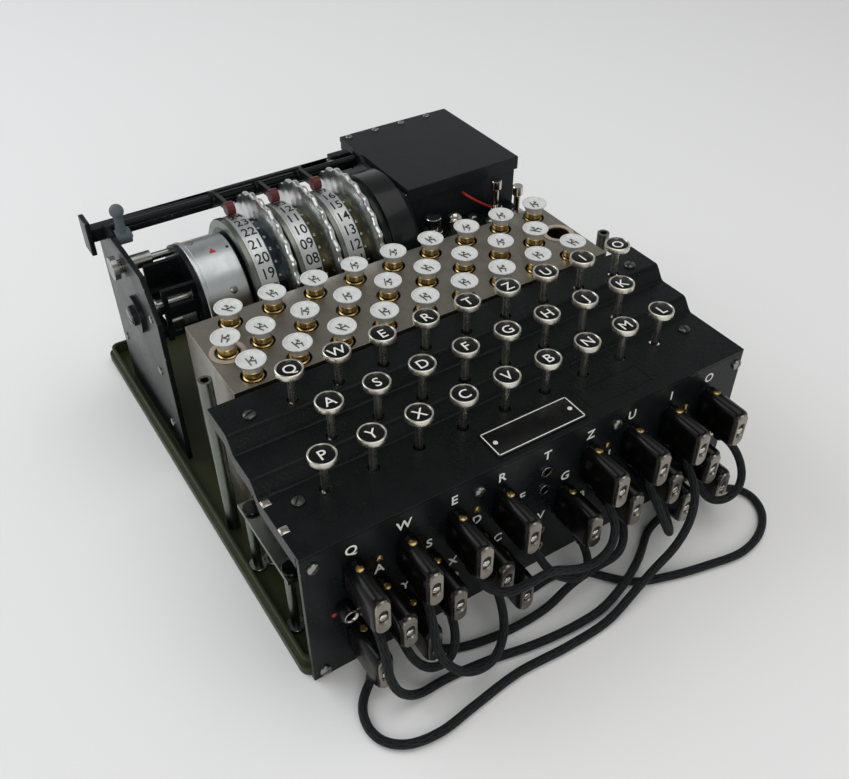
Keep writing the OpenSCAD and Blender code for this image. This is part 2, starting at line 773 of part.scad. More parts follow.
// A tube of n sides through the points of r
module tube(r, first_dir, last_dir, d, n) {
    rings = len(r);
    points = [for (i = [0 : rings - 1])
        each tube_ring(r[i], heading(r, i, first_dir, last_dir), d, n)];
    sides = [for (i = [0 : rings - 2], k = [0 : n - 1]) let (
        a = i * n + k, b = i * n + (k + 1) % n) each [[a, b, b + n], [a, b + n, a + n]]];
    last_at = (rings - 1) * n;
    first = [for (k = [1 : n - 2]) [0, k + 1, k]];
    last = [for (k = [1 : n - 2]) [last_at, last_at + k, last_at + k + 1]];
    polyhedron(points, concat(sides, first, last));
}

module patch_cords() {
    color("darkslategray") for (lead = LEADS)
        tube(route(lead), exit_dir(lead[0][2]), -exit_dir(lead[1][2]), cord_d, tube_sides);
}

// ---- The nodes ----

base_tray();
chassis_posts();
front_panel();
case_screws();
plug_sockets();
test_sockets();
key_cover();
key_frame();
contact_boards();
lamp_plate();
lamp_bulbs();
left_frame_plate();
right_frame_plate();
rotor_rods();
reflector_bracket();
reflector_drum();
for (n = [0 : 2]) {
    rotor_core(n);
    rotor_ring(n);
}
entry_disc();
top_bar();
release_lever();
detent_arms();
pawl_bar();
battery_box();
battery_lid();
battery();
selector_knob();
terminals();
patch_plugs();
patch_cords();
for (i = [0 : len(KEYS) - 1]) key(i);
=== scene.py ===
"""The looks of a rotor cipher machine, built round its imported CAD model, in metres."""

import math
import random

import bmesh
import bpy
from bpy.props import FloatProperty, FloatVectorProperty, PointerProperty
from mathutils import Matrix, Vector


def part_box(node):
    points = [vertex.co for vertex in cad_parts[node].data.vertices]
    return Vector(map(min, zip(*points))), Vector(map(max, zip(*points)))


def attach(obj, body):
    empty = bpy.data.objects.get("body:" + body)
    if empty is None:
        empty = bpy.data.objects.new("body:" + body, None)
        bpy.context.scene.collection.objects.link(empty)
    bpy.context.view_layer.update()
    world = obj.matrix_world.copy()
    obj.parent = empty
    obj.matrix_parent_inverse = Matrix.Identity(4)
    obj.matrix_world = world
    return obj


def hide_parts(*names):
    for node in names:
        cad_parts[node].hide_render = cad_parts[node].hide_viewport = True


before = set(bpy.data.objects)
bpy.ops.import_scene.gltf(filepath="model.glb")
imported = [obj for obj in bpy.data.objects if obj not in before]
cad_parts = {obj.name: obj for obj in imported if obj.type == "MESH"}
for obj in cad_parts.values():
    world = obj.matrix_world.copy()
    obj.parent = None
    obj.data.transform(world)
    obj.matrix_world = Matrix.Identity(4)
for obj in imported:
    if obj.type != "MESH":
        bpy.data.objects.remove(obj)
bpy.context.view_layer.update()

bl_info = {
    "name": "Rotor Cipher Machine",
    "version": (1, 0, 0),
    "blender": (4, 5, 0),
    "location": "View3D > Sidebar > Machine",
    "description": "Keys, lamps, rotors, patch leads and covers of a rotor cipher machine",
    "category": "Object",
}

MM = 0.001
CHASSIS = "chassis"
FINISH_SUFFIX = "_finish"  # keeps a finish apart from the record's material of the same name
ROWS = ("pyxcvbnml", "asdfghjk", "qwertzuio")
TO_FRONT = Matrix.Rotation(math.pi / 2, 4, "X")      # local Z points out of the front panel, Y up
TO_RIGHT = Matrix.Rotation(math.pi / 2, 4, "Y")      # local Z points to the right

MIDDLE_X = 3.5           # of the tray, the panel and the cover, in millimetres

# Front panel, in millimetres
PANEL_FACE_Y = -149.0
SOCKET_FIRST_X = (-104.3, -90.9, -104.3)
SOCKET_ROW_Z = (20.8, 42.9, 64.3)
SOCKET_GAP = 12.4
PANEL_LETTER_Z = (38.4, 60.5, 81.9)
PANEL_SCREWS = ((-123, 82), (-123, 5), (132.5, 82), (132.5, 5), (-36.2, 79.6), (48.4, 80.2))
BRASS_SCREWS = ((-90.5, 67.2), (-36.8, 67.8), (44.3, 67.6), (99.4, 67.2))
TEST_SOCKET_X = (-110.2, 118.2)
TEST_SOCKET_Z = 46.8
RED_DOT = (-115.4, 43)

# Cover and lamp plate
TERRACE_Z = (91.0, 98.5, 106.5)
COVER_SCREWS = ((117.6, -119.2, 0), (117.6, -72.1, 2))       # x from the middle, y, terrace
STAY_POSTS = ((126.3, -117), (126.3, -72))                   # x from the middle, y
STAY_TOP_Z = 45.5
TRAY_FLOOR_Z = 3.0
NAME_PLATE = ((-23, -145.5), (31, -127.4))
SCRIBED_FRAME = ((36.5, -141.2), (77.6, -127.6))
CLIPS = ((-128.2, -112.5), (-128.2, -131))
LAMP_ROW_Y = (-45.7, -23.2, 0.5)
LAMP_PLATE_Z = 106.4
TEST_LAMP = (-103.5, -22.4)
TEST_HOLE = (109.0, -22.4)

# Rotor stack
AXIS_Y = 60.0
AXIS_Z = 88.0
RING_X = (-57.4, -29.6, -1.8)
RING_R = 37.8
POSITIONS = 26
CORE_R = 32.95
CORE_X = (-8.6, 11.6)    # from a ring's middle to the left face, and to the thumbwheel
WHEEL_R = 48.6
WHEEL_DIP = 1.75         # depth of the hollows between a thumbwheel's lobes
WHEEL_T = 3.3
HUB_R = 19.8
HUB_END = 17.4
CONTACT_R = 15.0
DRUM_R = 31.0
DRUM_MARK_TURN = 14.6    # degrees from the drum's top towards the front
KNURL_AT = (-130.0, 77.5, 110.0)
TOP_NUMBERS = (23, 12, 16)
NUMBER_LEAN = (1.1, 1.0, 1.0)

# Battery box and its ledge
LEDGE_Z = 96.5
KNOB_AT = (52.7, 28.0)
TERMINALS = ((110, 20), (103, 33))
LEDGE_SCREWS = ((86, 34), (93, 24))
LID_TOP_Z = 126.0
LID_SCREW_X = (47, 67, 87, 107)
DOME_NUT_AT = (71, 32)
RED_WIRE = ((83, 41, 112), (83, 38, 112), (85, 35.5, 110.5), (89, 34, 107.5), (94, 33.5, 104), (98, 33.3, 101.4),
            (100.5, 33.2, 99.8))
RED_WIRE_WIDE = 1.6

# Rotor frame: the outside of its left plate, and the detent arms' rollers and rod, as (y, z)
LEFT_PLATE_X = -124.5
ROLLER_AT = (74.4, 127.7)
ROLLER_R = 4.3
ROLLER_BACK = 79
DETENT_ROD_FROM = (88, 116)

# Each patch lead: its first socket and that plug's turn in degrees, its last socket and turn, and the
# points where its cord hangs or lies, in millimetres
LEADS = (
    ("q", 0, "m", -90, ((-105, -176.5, 41), (-106, -182, 28), (-102, -184.5, 15), (-92.5, -184.5, 5.5),
                        (-78, -183, 2.5), (-55, -185.5, 2.5), (-30, -190.5, 2.5), (-5, -193, 2.5),
                        (14, -193, 4), (30, -189.5, 8.2), (46, -182, 7), (59, -173.5, 2.8),
                        (70, -166, 2.5))),
    ("p", -60, "i", 0, ((-114.8, -171, 2.5), (-119.5, -180, 2.5), (-119, -192, 2.5), (-110.5, -201, 2.5),
                        (-96, -204.5, 2.5), (-72, -202, 2.5), (-45, -199, 2.5), (-15, -200.5, 2.5),
                        (14, -199.5, 3.2), (31, -196, 7.5), (49, -192, 11), (63, -190.5, 17.5),
                        (74, -187.5, 28), (81, -181.5, 39.5))),
    ("e", 0, "z", 0, ((-48, -175, 43.5), (-40.5, -181, 42), (-28, -183, 43.5), (-14, -181.5, 40.5),
                      (-1, -181.5, 32.5), (12, -181.5, 27.5), (24, -181, 31), (30.6, -176, 40.5))),
    ("c", 90, "l", 90, ((-10.5, -163.5, 2.5), (5, -162.3, 2.5), (18, -166, 2.5), (28, -177, 2.5),
                        (39, -188.5, 2.5), (55, -195, 2.5), (80, -201.5, 2.5), (105, -205, 2.5),
                        (124, -199, 2.5), (135.5, -187.5, 2.5), (137.5, -176, 2.5), (131, -167, 2.5))),
    ("a", 0, "s", 0, ((-89.6, -174.5, 20.5), (-85.5, -179.5, 15.2), (-77.4, -181.5, 13),
                      (-69.3, -179.5, 15.2), (-65.2, -174.5, 20.5))),
    ("w", 0, "d", 0, ((-79, -176, 40), (-80.5, -184.5, 27), (-72, -191, 15.5), (-57.5, -192, 11),
                      (-45, -185.5, 12))),
    ("y", 60, "h", 0, ((-64, -171, 2.5), (-48, -175.5, 2.5), (-28, -177.5, 2.5), (-9, -177.5, 4.5),
                       (6, -176, 10), (22, -176.5, 14), (36, -177.5, 17.5))),
    ("r", 90, "g", 0, ((-14, -167, 42), (-10.5, -171.5, 32), (-3.5, -177, 23.5), (7, -179.5, 19),
                       (15, -177, 19.5))),
    ("u", 0, "j", 0, ((58.2, -176.5, 41), (58.6, -183.5, 33), (62, -185.5, 24), (68.4, -180, 19.5))),
    ("o", 90, "k", 0, ((122, -167, 42.5), (124, -174.5, 33.5), (119, -181.5, 26), (109.5, -182.5, 20),
                       (101.5, -178.5, 19.5))),
)
PLUG_PITCH = 27.1
PLUG_W = 10.2
PLUG_H = 24.0
PLUG_BACK = 1.05         # from the panel's face to the plug's back
PLUG_LENGTH = 26.0
GLAND_AT = (15.0, 11.5)       # in front of the panel's face, and below the pair's middle
GLAND_LENGTH = 5.0

# The camera that took the photograph: place in metres, turns in radians, lens in millimetres
CAMERA_AT = (-0.2164, -0.3840, 0.3970)
CAMERA_YAW = 0.5679
CAMERA_PITCH = 0.712
CAMERA_LENS = 39.2


# ---------------------------------------------------------------- sizes and colours

class MachineSizes(bpy.types.PropertyGroup):
    edge_radius: FloatProperty(name="Edge radius", description="Rounding of sheet and cast edges",
                               default=0.00035, subtype="DISTANCE", unit="LENGTH")
    key_letter: FloatProperty(name="Key letter", description="Height of a key's letter",
                              default=0.0062, subtype="DISTANCE", unit="LENGTH")
    panel_letter: FloatProperty(name="Panel letter", description="Height of a letter on the plug panel",
                                default=0.0056, subtype="DISTANCE", unit="LENGTH")
    ring_digit: FloatProperty(name="Ring digit", description="Height of a number ring's digits",
                              default=0.0062, subtype="DISTANCE", unit="LENGTH")
    cord_diameter: FloatProperty(name="Cord diameter", description="Across a braided cord",
                                 default=0.0045, subtype="DISTANCE", unit="LENGTH")
    lens_radius: FloatProperty(name="Lens radius", description="Radius of a lamp's lens",
                               default=0.0076, subtype="DISTANCE", unit="LENGTH")


def colour(name, words, value):
    """A colour property with its name, description and default"""
    return FloatVectorProperty(name=name, description=words, default=value, size=3, min=0, max=1,
                               subtype="COLOR")


class MachineColours(bpy.types.PropertyGroup):
    enamel: colour("Enamel", "Wrinkle enamel of the cover and the battery box", (0.0028, 0.0042, 0.0046))
    panel: colour("Panel", "Satin black paint of the plug panel and frame", (0.004, 0.005, 0.0056))
    olive: colour("Olive", "Paint of the base tray", (0.032, 0.037, 0.015))
    nickel: colour("Nickel", "Bright nickel plating", (0.62, 0.60, 0.55))
    satin: colour("Satin nickel", "Satin plating of the lamp plate", (0.35, 0.33, 0.285))
    drum: colour("Drum", "Blasted aluminium of the drum and rings", (0.56, 0.59, 0.60))
    lens: colour("Lens", "Frosted lenses", (0.72, 0.73, 0.72))
    brass: colour("Brass", "Lamp necks and contacts", (0.55, 0.40, 0.16))
    lettering: colour("Lettering", "White paint of letters and lines", (0.80, 0.80, 0.76))
    cord: colour("Cord", "Braided cords", (0.012, 0.0135, 0.015))
    red: colour("Red", "Index mark and dot", (0.42, 0.035, 0.03))


# ---------------------------------------------------------------- making meshes

def mm(*values):
    """Millimetres to metres: a number, or a vector of three"""
    return values[0] * MM if len(values) == 1 else Vector(values) * MM


def added(bm, make):
    """The vertices that a call of make() adds to bm"""
    before = set(bm.verts)
    make()
    return [v for v in bm.verts if v not in before]


def placed(bm, verts, at, turn=None):
    """Turns vertices about the origin, then moves them to at, in millimetres"""
    bmesh.ops.transform(bm, matrix=Matrix.Translation(mm(*at)) @ (turn or Matrix()), verts=verts)
    return verts


def lathe(bm, profile, at=(0, 0, 0), turn=None, steps=32):
    """Turns an outline of (radius, height) points in millimetres about local Z, then places it"""
    def spin():
        line = [bm.verts.new(mm(r, 0, h)) for r, h in profile]
        edges = [bm.edges.new(pair) for pair in zip(line, line[1:])]
        bmesh.ops.spin(bm, geom=line + edges, cent=(0, 0, 0), axis=(0, 0, 1), angle=math.tau,
                       steps=steps, use_merge=True)
    verts = added(bm, spin)
    bmesh.ops.remove_doubles(bm, verts=verts, dist=mm(0.002))
    verts = [v for v in verts if v.is_valid]
    faces = list({f for v in verts for f in v.link_faces})
    bmesh.ops.recalc_face_normals(bm, faces=faces)
    return placed(bm, verts, at, turn)


def bar(bm, *size):
    """A plain box of a size in millimetres round the origin"""
    verts = added(bm, lambda: bmesh.ops.create_cube(bm, size=1))
    bmesh.ops.scale(bm, vec=mm(*size), verts=verts)
    return verts


def dip_rim(verts, centre, beyond, depth):
    """Sinks the vertices farther than beyond from an X axis through centre by depth(angle), in mm"""
    for v in verts:
        across = Vector((0, v.co.y - mm(centre[1]), v.co.z - mm(centre[2])))
        if across.length > mm(beyond):
            v.co -= across.normalized() * mm(depth(math.atan2(across.y, across.z)))


def block(bm, low, high, edge=0.0):
    """A box between two corners in millimetres, its edges rounded by edge"""
    verts = bar(bm, *(b - a for a, b in zip(low, high)))
    placed(bm, verts, [(a + b) / 2 for a, b in zip(low, high)])
    if edge:
        edges = list({e for v in verts for e in v.link_edges})
        bmesh.ops.bevel(bm, geom=edges, offset=mm(edge), segments=2, profile=0.5, affect="EDGES",
                        material=-1)


def stadium_loop(bm, width, height, y, steps=10):
    """A closed loop of edges round an upright outline with round ends, in the plane at y"""
    half, rise = width / 2, (height - width) / 2
    arc = [math.pi * i / steps for i in range(steps + 1)]
    top = [(half * math.cos(a), rise + half * math.sin(a)) for a in arc]
    outline = top + [(-x, -z) for x, z in top]
    verts = [bm.verts.new(mm(x, y, z)) for x, z in outline]
    return [bm.edges.new((a, b)) for a, b in zip(verts, verts[1:] + verts[:1])]


def loft(bm, sections, at=(0, 0, 0), turn=None):
    """A closed solid through upright round-ended sections of (width, height, y)"""
    def skin():
        loops = [stadium_loop(bm, *section) for section in sections]
        for a, b in zip(loops, loops[1:]):
            bmesh.ops.bridge_loops(bm, edges=a + b)
        bmesh.ops.contextual_create(bm, geom=loops[0])
        bmesh.ops.contextual_create(bm, geom=loops[-1])
    verts = added(bm, skin)
    bmesh.ops.recalc_face_normals(bm, faces=list({f for v in verts for f in v.link_faces}))
    return placed(bm, verts, at, turn)


def soften(bm, angle=math.radians(32)):
    """Smooth shading, with sharp edges where the surface turns by more than angle"""
    for face in bm.faces:
        face.smooth = True
    for edge in bm.edges:
        edge.smooth = len(edge.link_faces) == 2 and edge.calc_face_angle(0) < angle


def finished(name, bm, materials, body=CHASSIS, replaces=()):
    """The mesh as a piece of the machine, riding on its body"""
    soften(bm)
    mesh = bpy.data.meshes.new(name)
    bm.to_mesh(mesh)
    bm.free()
    for material in materials if isinstance(materials, (list, tuple)) else [materials]:
        mesh.materials.append(bpy.data.materials[material + FINISH_SUFFIX])
    piece = bpy.data.objects.new(name, mesh)
    bpy.context.scene.collection.objects.link(piece)
    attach(piece, body)
    if replaces:
        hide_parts(*replaces)
    return piece


def merged_copy(node):
    """A CAD node's mesh with its triangles welded and its flat faces joined"""
    bm = bmesh.new()
    bm.from_mesh(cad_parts[node].data)
    bmesh.ops.remove_doubles(bm, verts=bm.verts, dist=mm(0.002))
    bmesh.ops.dissolve_limit(bm, angle_limit=math.radians(0.6), verts=bm.verts, edges=bm.edges)
    return bm


def round_edges(bm, width, angle=math.radians(40)):
    """Rounds the sharp edges of a solid and marks the rounded faces for the paint's wear"""
    sharp = [e for e in bm.edges if len(e.link_faces) == 2 and e.calc_face_angle(0) > angle]
    worn = bm.faces.layers.float.new("edge")
    made = bmesh.ops.bevel(bm, geom=sharp, offset=width, segments=2, profile=0.5, affect="EDGES",
                           material=-1, clamp_overlap=False)
    for face in made["faces"]:
        face[worn] = 1.0


def dressed(node, materials, body=CHASSIS, width=None, paint=None):
    """A CAD node with rounded edges and its own materials; paint picks a face's material by its middle"""
    bm = merged_copy(node)
    width = bpy.context.scene.machine_sizes.edge_radius if width is None else mm(width)
    if width:
        round_edges(bm, width)
    if paint:
        for face in bm.faces:
            face.material_index = paint(face.calc_center_median() / MM)
    piece = finished(node + "_piece", bm, materials, body, [node])
    evened = piece.modifiers.new("even_shading", "WEIGHTED_NORMAL")
    evened.keep_sharp = True
    return piece


def flat_text(words, height, depth=0.08, weight=0.0):
    """A bmesh of raised words, their middle at the origin, facing +Z; height in metres, depth in mm"""
    curve = bpy.data.curves.new("words", "FONT")
    curve.body = words
    curve.size = height / 0.72
    curve.extrude = mm(depth) / 2
    curve.offset = mm(weight)
    curve.align_x = "CENTER"
    curve.resolution_u = 4
    holder = bpy.data.objects.new("words", curve)
    bpy.context.scene.collection.objects.link(holder)
    mesh = bpy.data.meshes.new_from_object(holder.evaluated_get(bpy.context.evaluated_depsgraph_get()))
    bm = bmesh.new()
    bm.from_mesh(mesh)
    bpy.data.objects.remove(holder)
    bpy.data.curves.remove(curve)
    bpy.data.meshes.remove(mesh)
    bmesh.ops.remove_doubles(bm, verts=bm.verts, dist=mm(0.001))
    bmesh.ops.translate(bm, vec=(0, -height / 2, 0), verts=bm.verts)
    return bm


def pour(bm, other):
    """Adds another bmesh to bm"""
    mesh = bpy.data.meshes.new("pour")
    other.to_mesh(mesh)
    other.free()
    bm.from_mesh(mesh)
    bpy.data.meshes.remove(mesh)


def carve(bm, cutter):
    """Takes the solids of cutter out of bm and gives the result"""
    shapes = []
    for name, source in (("body", bm), ("cutter", cutter)):
        mesh = bpy.data.meshes.new(name)
        source.to_mesh(mesh)
        source.free()
        thing = bpy.data.objects.new(name, mesh)
        bpy.context.scene.collection.objects.link(thing)
        shapes.append(thing)
    cut = shapes[0].modifiers.new("cut", "BOOLEAN")
    cut.operation = "DIFFERENCE"
    cut.solver = "EXACT"
    cut.object = shapes[1]
    result = bpy.data.meshes.new_from_object(
        shapes[0].evaluated_get(bpy.context.evaluated_depsgraph_get()))
    out = bmesh.new()
    out.from_mesh(result)
    bpy.data.meshes.remove(result)
    for thing in shapes:
        mesh = thing.data
        bpy.data.objects.remove(thing)
        bpy.data.meshes.remove(mesh)
    return out


def screw_profile(radius, height):
    """Outline of a round screw head, from its foot to its crown"""
    arc = [math.radians(a) for a in (20, 40, 60, 75, 90)]
    rim = height * 0.45
    return [(0, -0.3), (radius, -0.3), (radius, rim)] + [
        (radius * math.cos(a), rim + (height - rim) * math.sin(a)) for a in arc]


def screws(name, places, materials="plated_steel", body=CHASSIS, replaces=(), seed=4):
    """Slotted round-head screws; a place is (x, y, z, turn, radius, height)"""
    spread = random.Random(seed)
    heads, slots = bmesh.new(), bmesh.new()
    for x, y, z, turn, radius, height in places:
        lathe(heads, screw_profile(radius, height), (x, y, z), turn, steps=20)
        verts = bar(slots, radius * 2.6, radius * 0.28, height)
        bmesh.ops.translate(slots, vec=mm(0, 0, height * 1.02), verts=verts)
        bmesh.ops.rotate(slots, matrix=Matrix.Rotation(spread.uniform(0, math.pi), 3, "Z"), verts=verts)
        placed(slots, verts, (x, y, z), turn)
    return finished(name, carve(heads, slots), materials, body, replaces)


# ---------------------------------------------------------------- shader building

def put(tree, kind, inputs=None, **settings):
    """A node with its settings; an input that is a socket is linked, any other is its value"""
    made = tree.nodes.new(kind)
    for name, value in settings.items():
        setattr(made, name, value)
    for name, value in (inputs or {}).items():
        if isinstance(value, bpy.types.NodeSocket):
            tree.links.new(value, made.inputs[name])
        else:
            made.inputs[name].default_value = value
    return made


def rgba(value):
    """A colour with full alpha"""
    return (*value[:3], 1.0)


def object_place(tree):
    """Object coordinates, which stay with the surface"""
    return put(tree, "ShaderNodeTexCoord").outputs["Object"]


def noise(tree, place, scale, detail, **inputs):
    """The factor of a noise texture"""
    sockets = {"Vector": place, "Scale": scale, "Detail": detail, **inputs}
    return put(tree, "ShaderNodeTexNoise", sockets).outputs["Fac"]


def ramp(tree, source, low, high):
    """0 below low, 1 above high"""
    made = put(tree, "ShaderNodeMapRange", {"Value": source, "From Min": low, "From Max": high})
    return made.outputs["Result"]


def mix_colour(tree, share, a, b):
    """Colour a where share is 0, b where it is 1"""
    made = put(tree, "ShaderNodeMix", data_type="RGBA")
    for socket, value in zip((made.inputs[0], made.inputs[6], made.inputs[7]), (share, a, b)):
        if isinstance(value, bpy.types.NodeSocket):
            tree.links.new(value, socket)
        else:
            socket.default_value = rgba(value) if hasattr(value, "__len__") else value
    return made.outputs[2]


def arithmetic(tree, operation, a, b):
    """One Math node's result"""
    made = put(tree, "ShaderNodeMath", {0: a, 1: b}, operation=operation)
    return made.outputs[0]


def new_group(name, inputs, outputs):
    """A shader group with named sockets; gives its tree, its input node and its output node"""
    tree = bpy.data.node_groups.new(name, "ShaderNodeTree")
    for label, kind, value in inputs:
        socket = tree.interface.new_socket(label, in_out="INPUT", socket_type="NodeSocket" + kind)
        if value is not None:
            socket.default_value = value
    for label, kind in outputs:
        tree.interface.new_socket(label, in_out="OUTPUT", socket_type="NodeSocket" + kind)
    return tree, tree.nodes.new("NodeGroupInput"), tree.nodes.new("NodeGroupOutput")


def patina_group():
    """Slow mottling and fine dust: colour, roughness"""
    tree, inside, out = new_group(
        "Patina",
        [("Color", "Color", (0.5, 0.5, 0.5, 1)), ("Stain", "Color", (0.2, 0.2, 0.2, 1)),
         ("Scale", "Float", 60.0), ("Amount", "Float", 0.4), ("Roughness", "Float", 0.4),
         ("Spread", "Float", 0.12)],
        [("Color", "Color"), ("Roughness", "Float")])
    place = object_place(tree)
    clouds = noise(tree, place, inside.outputs["Scale"], 6.0, Roughness=0.62)
    finer = arithmetic(tree, "MULTIPLY", inside.outputs["Scale"], 14.0)
    fine = noise(tree, place, finer, 3.0, Roughness=0.7)
    soft = ramp(tree, clouds, 0.42, 0.72)
    grain = ramp(tree, fine, 0.5, 0.8)
    both = arithmetic(tree, "ADD", arithmetic(tree, "MULTIPLY", soft, 0.7),
                      arithmetic(tree, "MULTIPLY", grain, 0.3))
    share = arithmetic(tree, "MULTIPLY", both, inside.outputs["Amount"])
    tree.links.new(mix_colour(tree, share, inside.outputs["Color"], inside.outputs["Stain"]),
                   out.inputs["Color"])
    wobble = arithmetic(tree, "MULTIPLY", arithmetic(tree, "SUBTRACT", both, 0.3), inside.outputs["Spread"])
    tree.links.new(arithmetic(tree, "ADD", inside.outputs["Roughness"], wobble), out.inputs["Roughness"])


def edge_wear_group():
    """Paint rubbed through to metal on the rounded edges: colour, roughness, metal mask"""
    tree, inside, out = new_group(
        "Edge wear",
        [("Color", "Color", (0, 0, 0, 1)), ("Metal", "Color", (0.4, 0.38, 0.35, 1)),
         ("Roughness", "Float", 0.4), ("Amount", "Float", 0.5), ("Scale", "Float", 220.0)],
        [("Color", "Color"), ("Roughness", "Float"), ("Metallic", "Float")])
    place = object_place(tree)
    edge = put(tree, "ShaderNodeAttribute", attribute_name="edge").outputs["Fac"]
    clouds = noise(tree, place, inside.outputs["Scale"], 5.0, Roughness=0.65)
    level = arithmetic(tree, "SUBTRACT", 1.0, inside.outputs["Amount"])
    level = arithmetic(tree, "MULTIPLY", level, 0.9)
    rubbed = ramp(tree, clouds, level, arithmetic(tree, "ADD", level, 0.12))
    mask = arithmetic(tree, "MULTIPLY", rubbed, edge)
    chips = arithmetic(tree, "MULTIPLY", ramp(tree, noise(tree, place, 900.0, 2.0), 0.735, 0.76), 0.5)
    mask = arithmetic(tree, "MAXIMUM", mask, arithmetic(tree, "MULTIPLY", chips, inside.outputs["Amount"]))
    tree.links.new(mix_colour(tree, mask, inside.outputs["Color"], inside.outputs["Metal"]),
                   out.inputs["Color"])
    tree.links.new(arithmetic(tree, "ADD", inside.outputs["Roughness"],
                              arithmetic(tree, "MULTIPLY", mask, -0.1)), out.inputs["Roughness"])
    tree.links.new(mask, out.inputs["Metallic"])


def wrinkle_group():
    """Height of wrinkle enamel: small rounded worms"""
    tree, inside, out = new_group("Wrinkle", [("Scale", "Float", 900.0)], [("Height", "Float")])
    place = object_place(tree)
    bend = noise(tree, place, inside.outputs["Scale"], 3.0, Distortion=1.6)
    cells = put(tree, "ShaderNodeTexVoronoi", {
        "Vector": place, "Scale": arithmetic(tree, "MULTIPLY", inside.outputs["Scale"], 0.9)},
        feature="SMOOTH_F1")
    total = arithmetic(tree, "ADD", arithmetic(tree, "MULTIPLY", bend, 0.7),
                       arithmetic(tree, "MULTIPLY", cells.outputs["Distance"], 0.6))
    tree.links.new(total, out.inputs["Height"])


def streak_group():
    """Fine turning or brushing marks: height and roughness; Stretch is the scale along each axis"""
    tree, inside, out = new_group(
        "Streaks", [("Stretch", "Vector", (3000.0, 30.0, 30.0)), ("Roughness", "Float", 0.3),
                    ("Spread", "Float", 0.15)], [("Height", "Float"), ("Roughness", "Float")])
    stretched = put(tree, "ShaderNodeVectorMath", {0: object_place(tree), 1: inside.outputs["Stretch"]},
                    operation="MULTIPLY").outputs["Vector"]
    marks = noise(tree, stretched, 1.0, 4.0)
    tree.links.new(marks, out.inputs["Height"])
    wobble = arithmetic(tree, "MULTIPLY", arithmetic(tree, "SUBTRACT", marks, 0.5), inside.outputs["Spread"])
    tree.links.new(arithmetic(tree, "ADD", inside.outputs["Roughness"], wobble), out.inputs["Roughness"])


def braid_group():
    """Crossing strands round a cord, from its UV map: painted shade for the grooves between the strands, and
    height
    """
    tree, inside, out = new_group("Braid", [("Around", "Float", 8.0), ("Along", "Float", 8.0)],
                                  [("Painted_shade", "Float"), ("Height", "Float")])
    place = put(tree, "ShaderNodeUVMap", uv_map="cord").outputs["UV"]
    parts = put(tree, "ShaderNodeSeparateXYZ", {"Vector": place})
    across = arithmetic(tree, "MULTIPLY", parts.outputs["X"], inside.outputs["Around"])
    along = arithmetic(tree, "MULTIPLY", parts.outputs["Y"], inside.outputs["Along"])

    def strand(sign):
        slant = arithmetic(tree, "ADD", across, arithmetic(tree, "MULTIPLY", along, sign))
        wave = arithmetic(tree, "SINE", arithmetic(tree, "MULTIPLY", slant, math.tau), 0.0)
        return arithmetic(tree, "ADD", arithmetic(tree, "MULTIPLY", wave, 0.5), 0.5)
    first, second = strand(1.0), strand(-1.0)
    height = arithmetic(tree, "MAXIMUM", first, second)
    tree.links.new(height, out.inputs["Height"])
    # Painted shade: 0 in the grooves between the strands, 1 on their crowns
    tree.links.new(ramp(tree, height, 0.35, 0.95), out.inputs["Painted_shade"])


class Finish:
    """One material: its Principled shader, and short calls that feed it"""

    def __init__(self, name, **values):
        self.material = bpy.data.materials.new(name + FINISH_SUFFIX)
        self.material.use_nodes = True
        self.tree = self.material.node_tree
        self.shader = self.tree.nodes["Principled BSDF"]
        for label, value in values.items():
            self.shader.inputs[label.replace("_", " ")].default_value = value

    def group(self, name, **inputs):
        made = self.tree.nodes.new("ShaderNodeGroup")
        made.node_tree = bpy.data.node_groups[name]
        for label, value in inputs.items():
            if isinstance(value, bpy.types.NodeSocket):
                self.tree.links.new(value, made.inputs[label])
            else:
                made.inputs[label].default_value = value
        return made.outputs

    def feed(self, **sockets):
        for label, socket in sockets.items():
            self.tree.links.new(socket, self.shader.inputs[label.replace("_", " ")])

    def bump(self, height, strength, distance):
        made = put(self.tree, "ShaderNodeBump", {"Height": height, "Strength": strength,
                                                 "Distance": mm(distance)})
        self.feed(Normal=made.outputs["Normal"])

    def patina(self, base, stain, scale, amount, roughness, spread=0.12):
        return self.group("Patina", Color=rgba(base), Stain=rgba(stain), Scale=scale, Amount=amount,
                          Roughness=roughness, Spread=spread)


def painted(name, base, stain, roughness, wear, wrinkle=0.0, metal=(0.42, 0.40, 0.36), coat=0.0):
    """Paint with mottling, rubbed edges and, with wrinkle above 0, a wrinkled skin"""
    paint = Finish(name, Coat_Weight=coat, Coat_Roughness=0.25, Specular_IOR_Level=0.16)
    skin = paint.patina(base, stain, 45.0, 0.5, roughness)
    worn = paint.group("Edge wear", Color=skin["Color"], Metal=rgba(metal), Roughness=skin["Roughness"],
                       Amount=wear)
    paint.feed(Base_Color=worn["Color"], Roughness=worn["Roughness"], Metallic=worn["Metallic"])
    if wrinkle:
        paint.bump(paint.group("Wrinkle", Scale=1100.0)["Height"], wrinkle, 0.25)
    else:
        paint.bump(noise(paint.tree, object_place(paint.tree), 700.0, 3.0), 0.12, 0.1)


def plated(name, base, stain, roughness, amount=0.5, stretch=None, bump=0.05):
    """Plated or bare metal with tarnish, and turning marks along stretch"""
    metal = Finish(name, Metallic=1.0)
    skin = metal.patina(base, stain, 90.0, amount, roughness, 0.2)
    metal.feed(Base_Color=skin["Color"])
    marks = metal.group("Streaks", Stretch=stretch or (400.0, 400.0, 400.0), Roughness=skin["Roughness"],
                        Spread=0.12)
    metal.feed(Roughness=marks["Roughness"])
    metal.bump(marks["Height"], bump, 0.05)


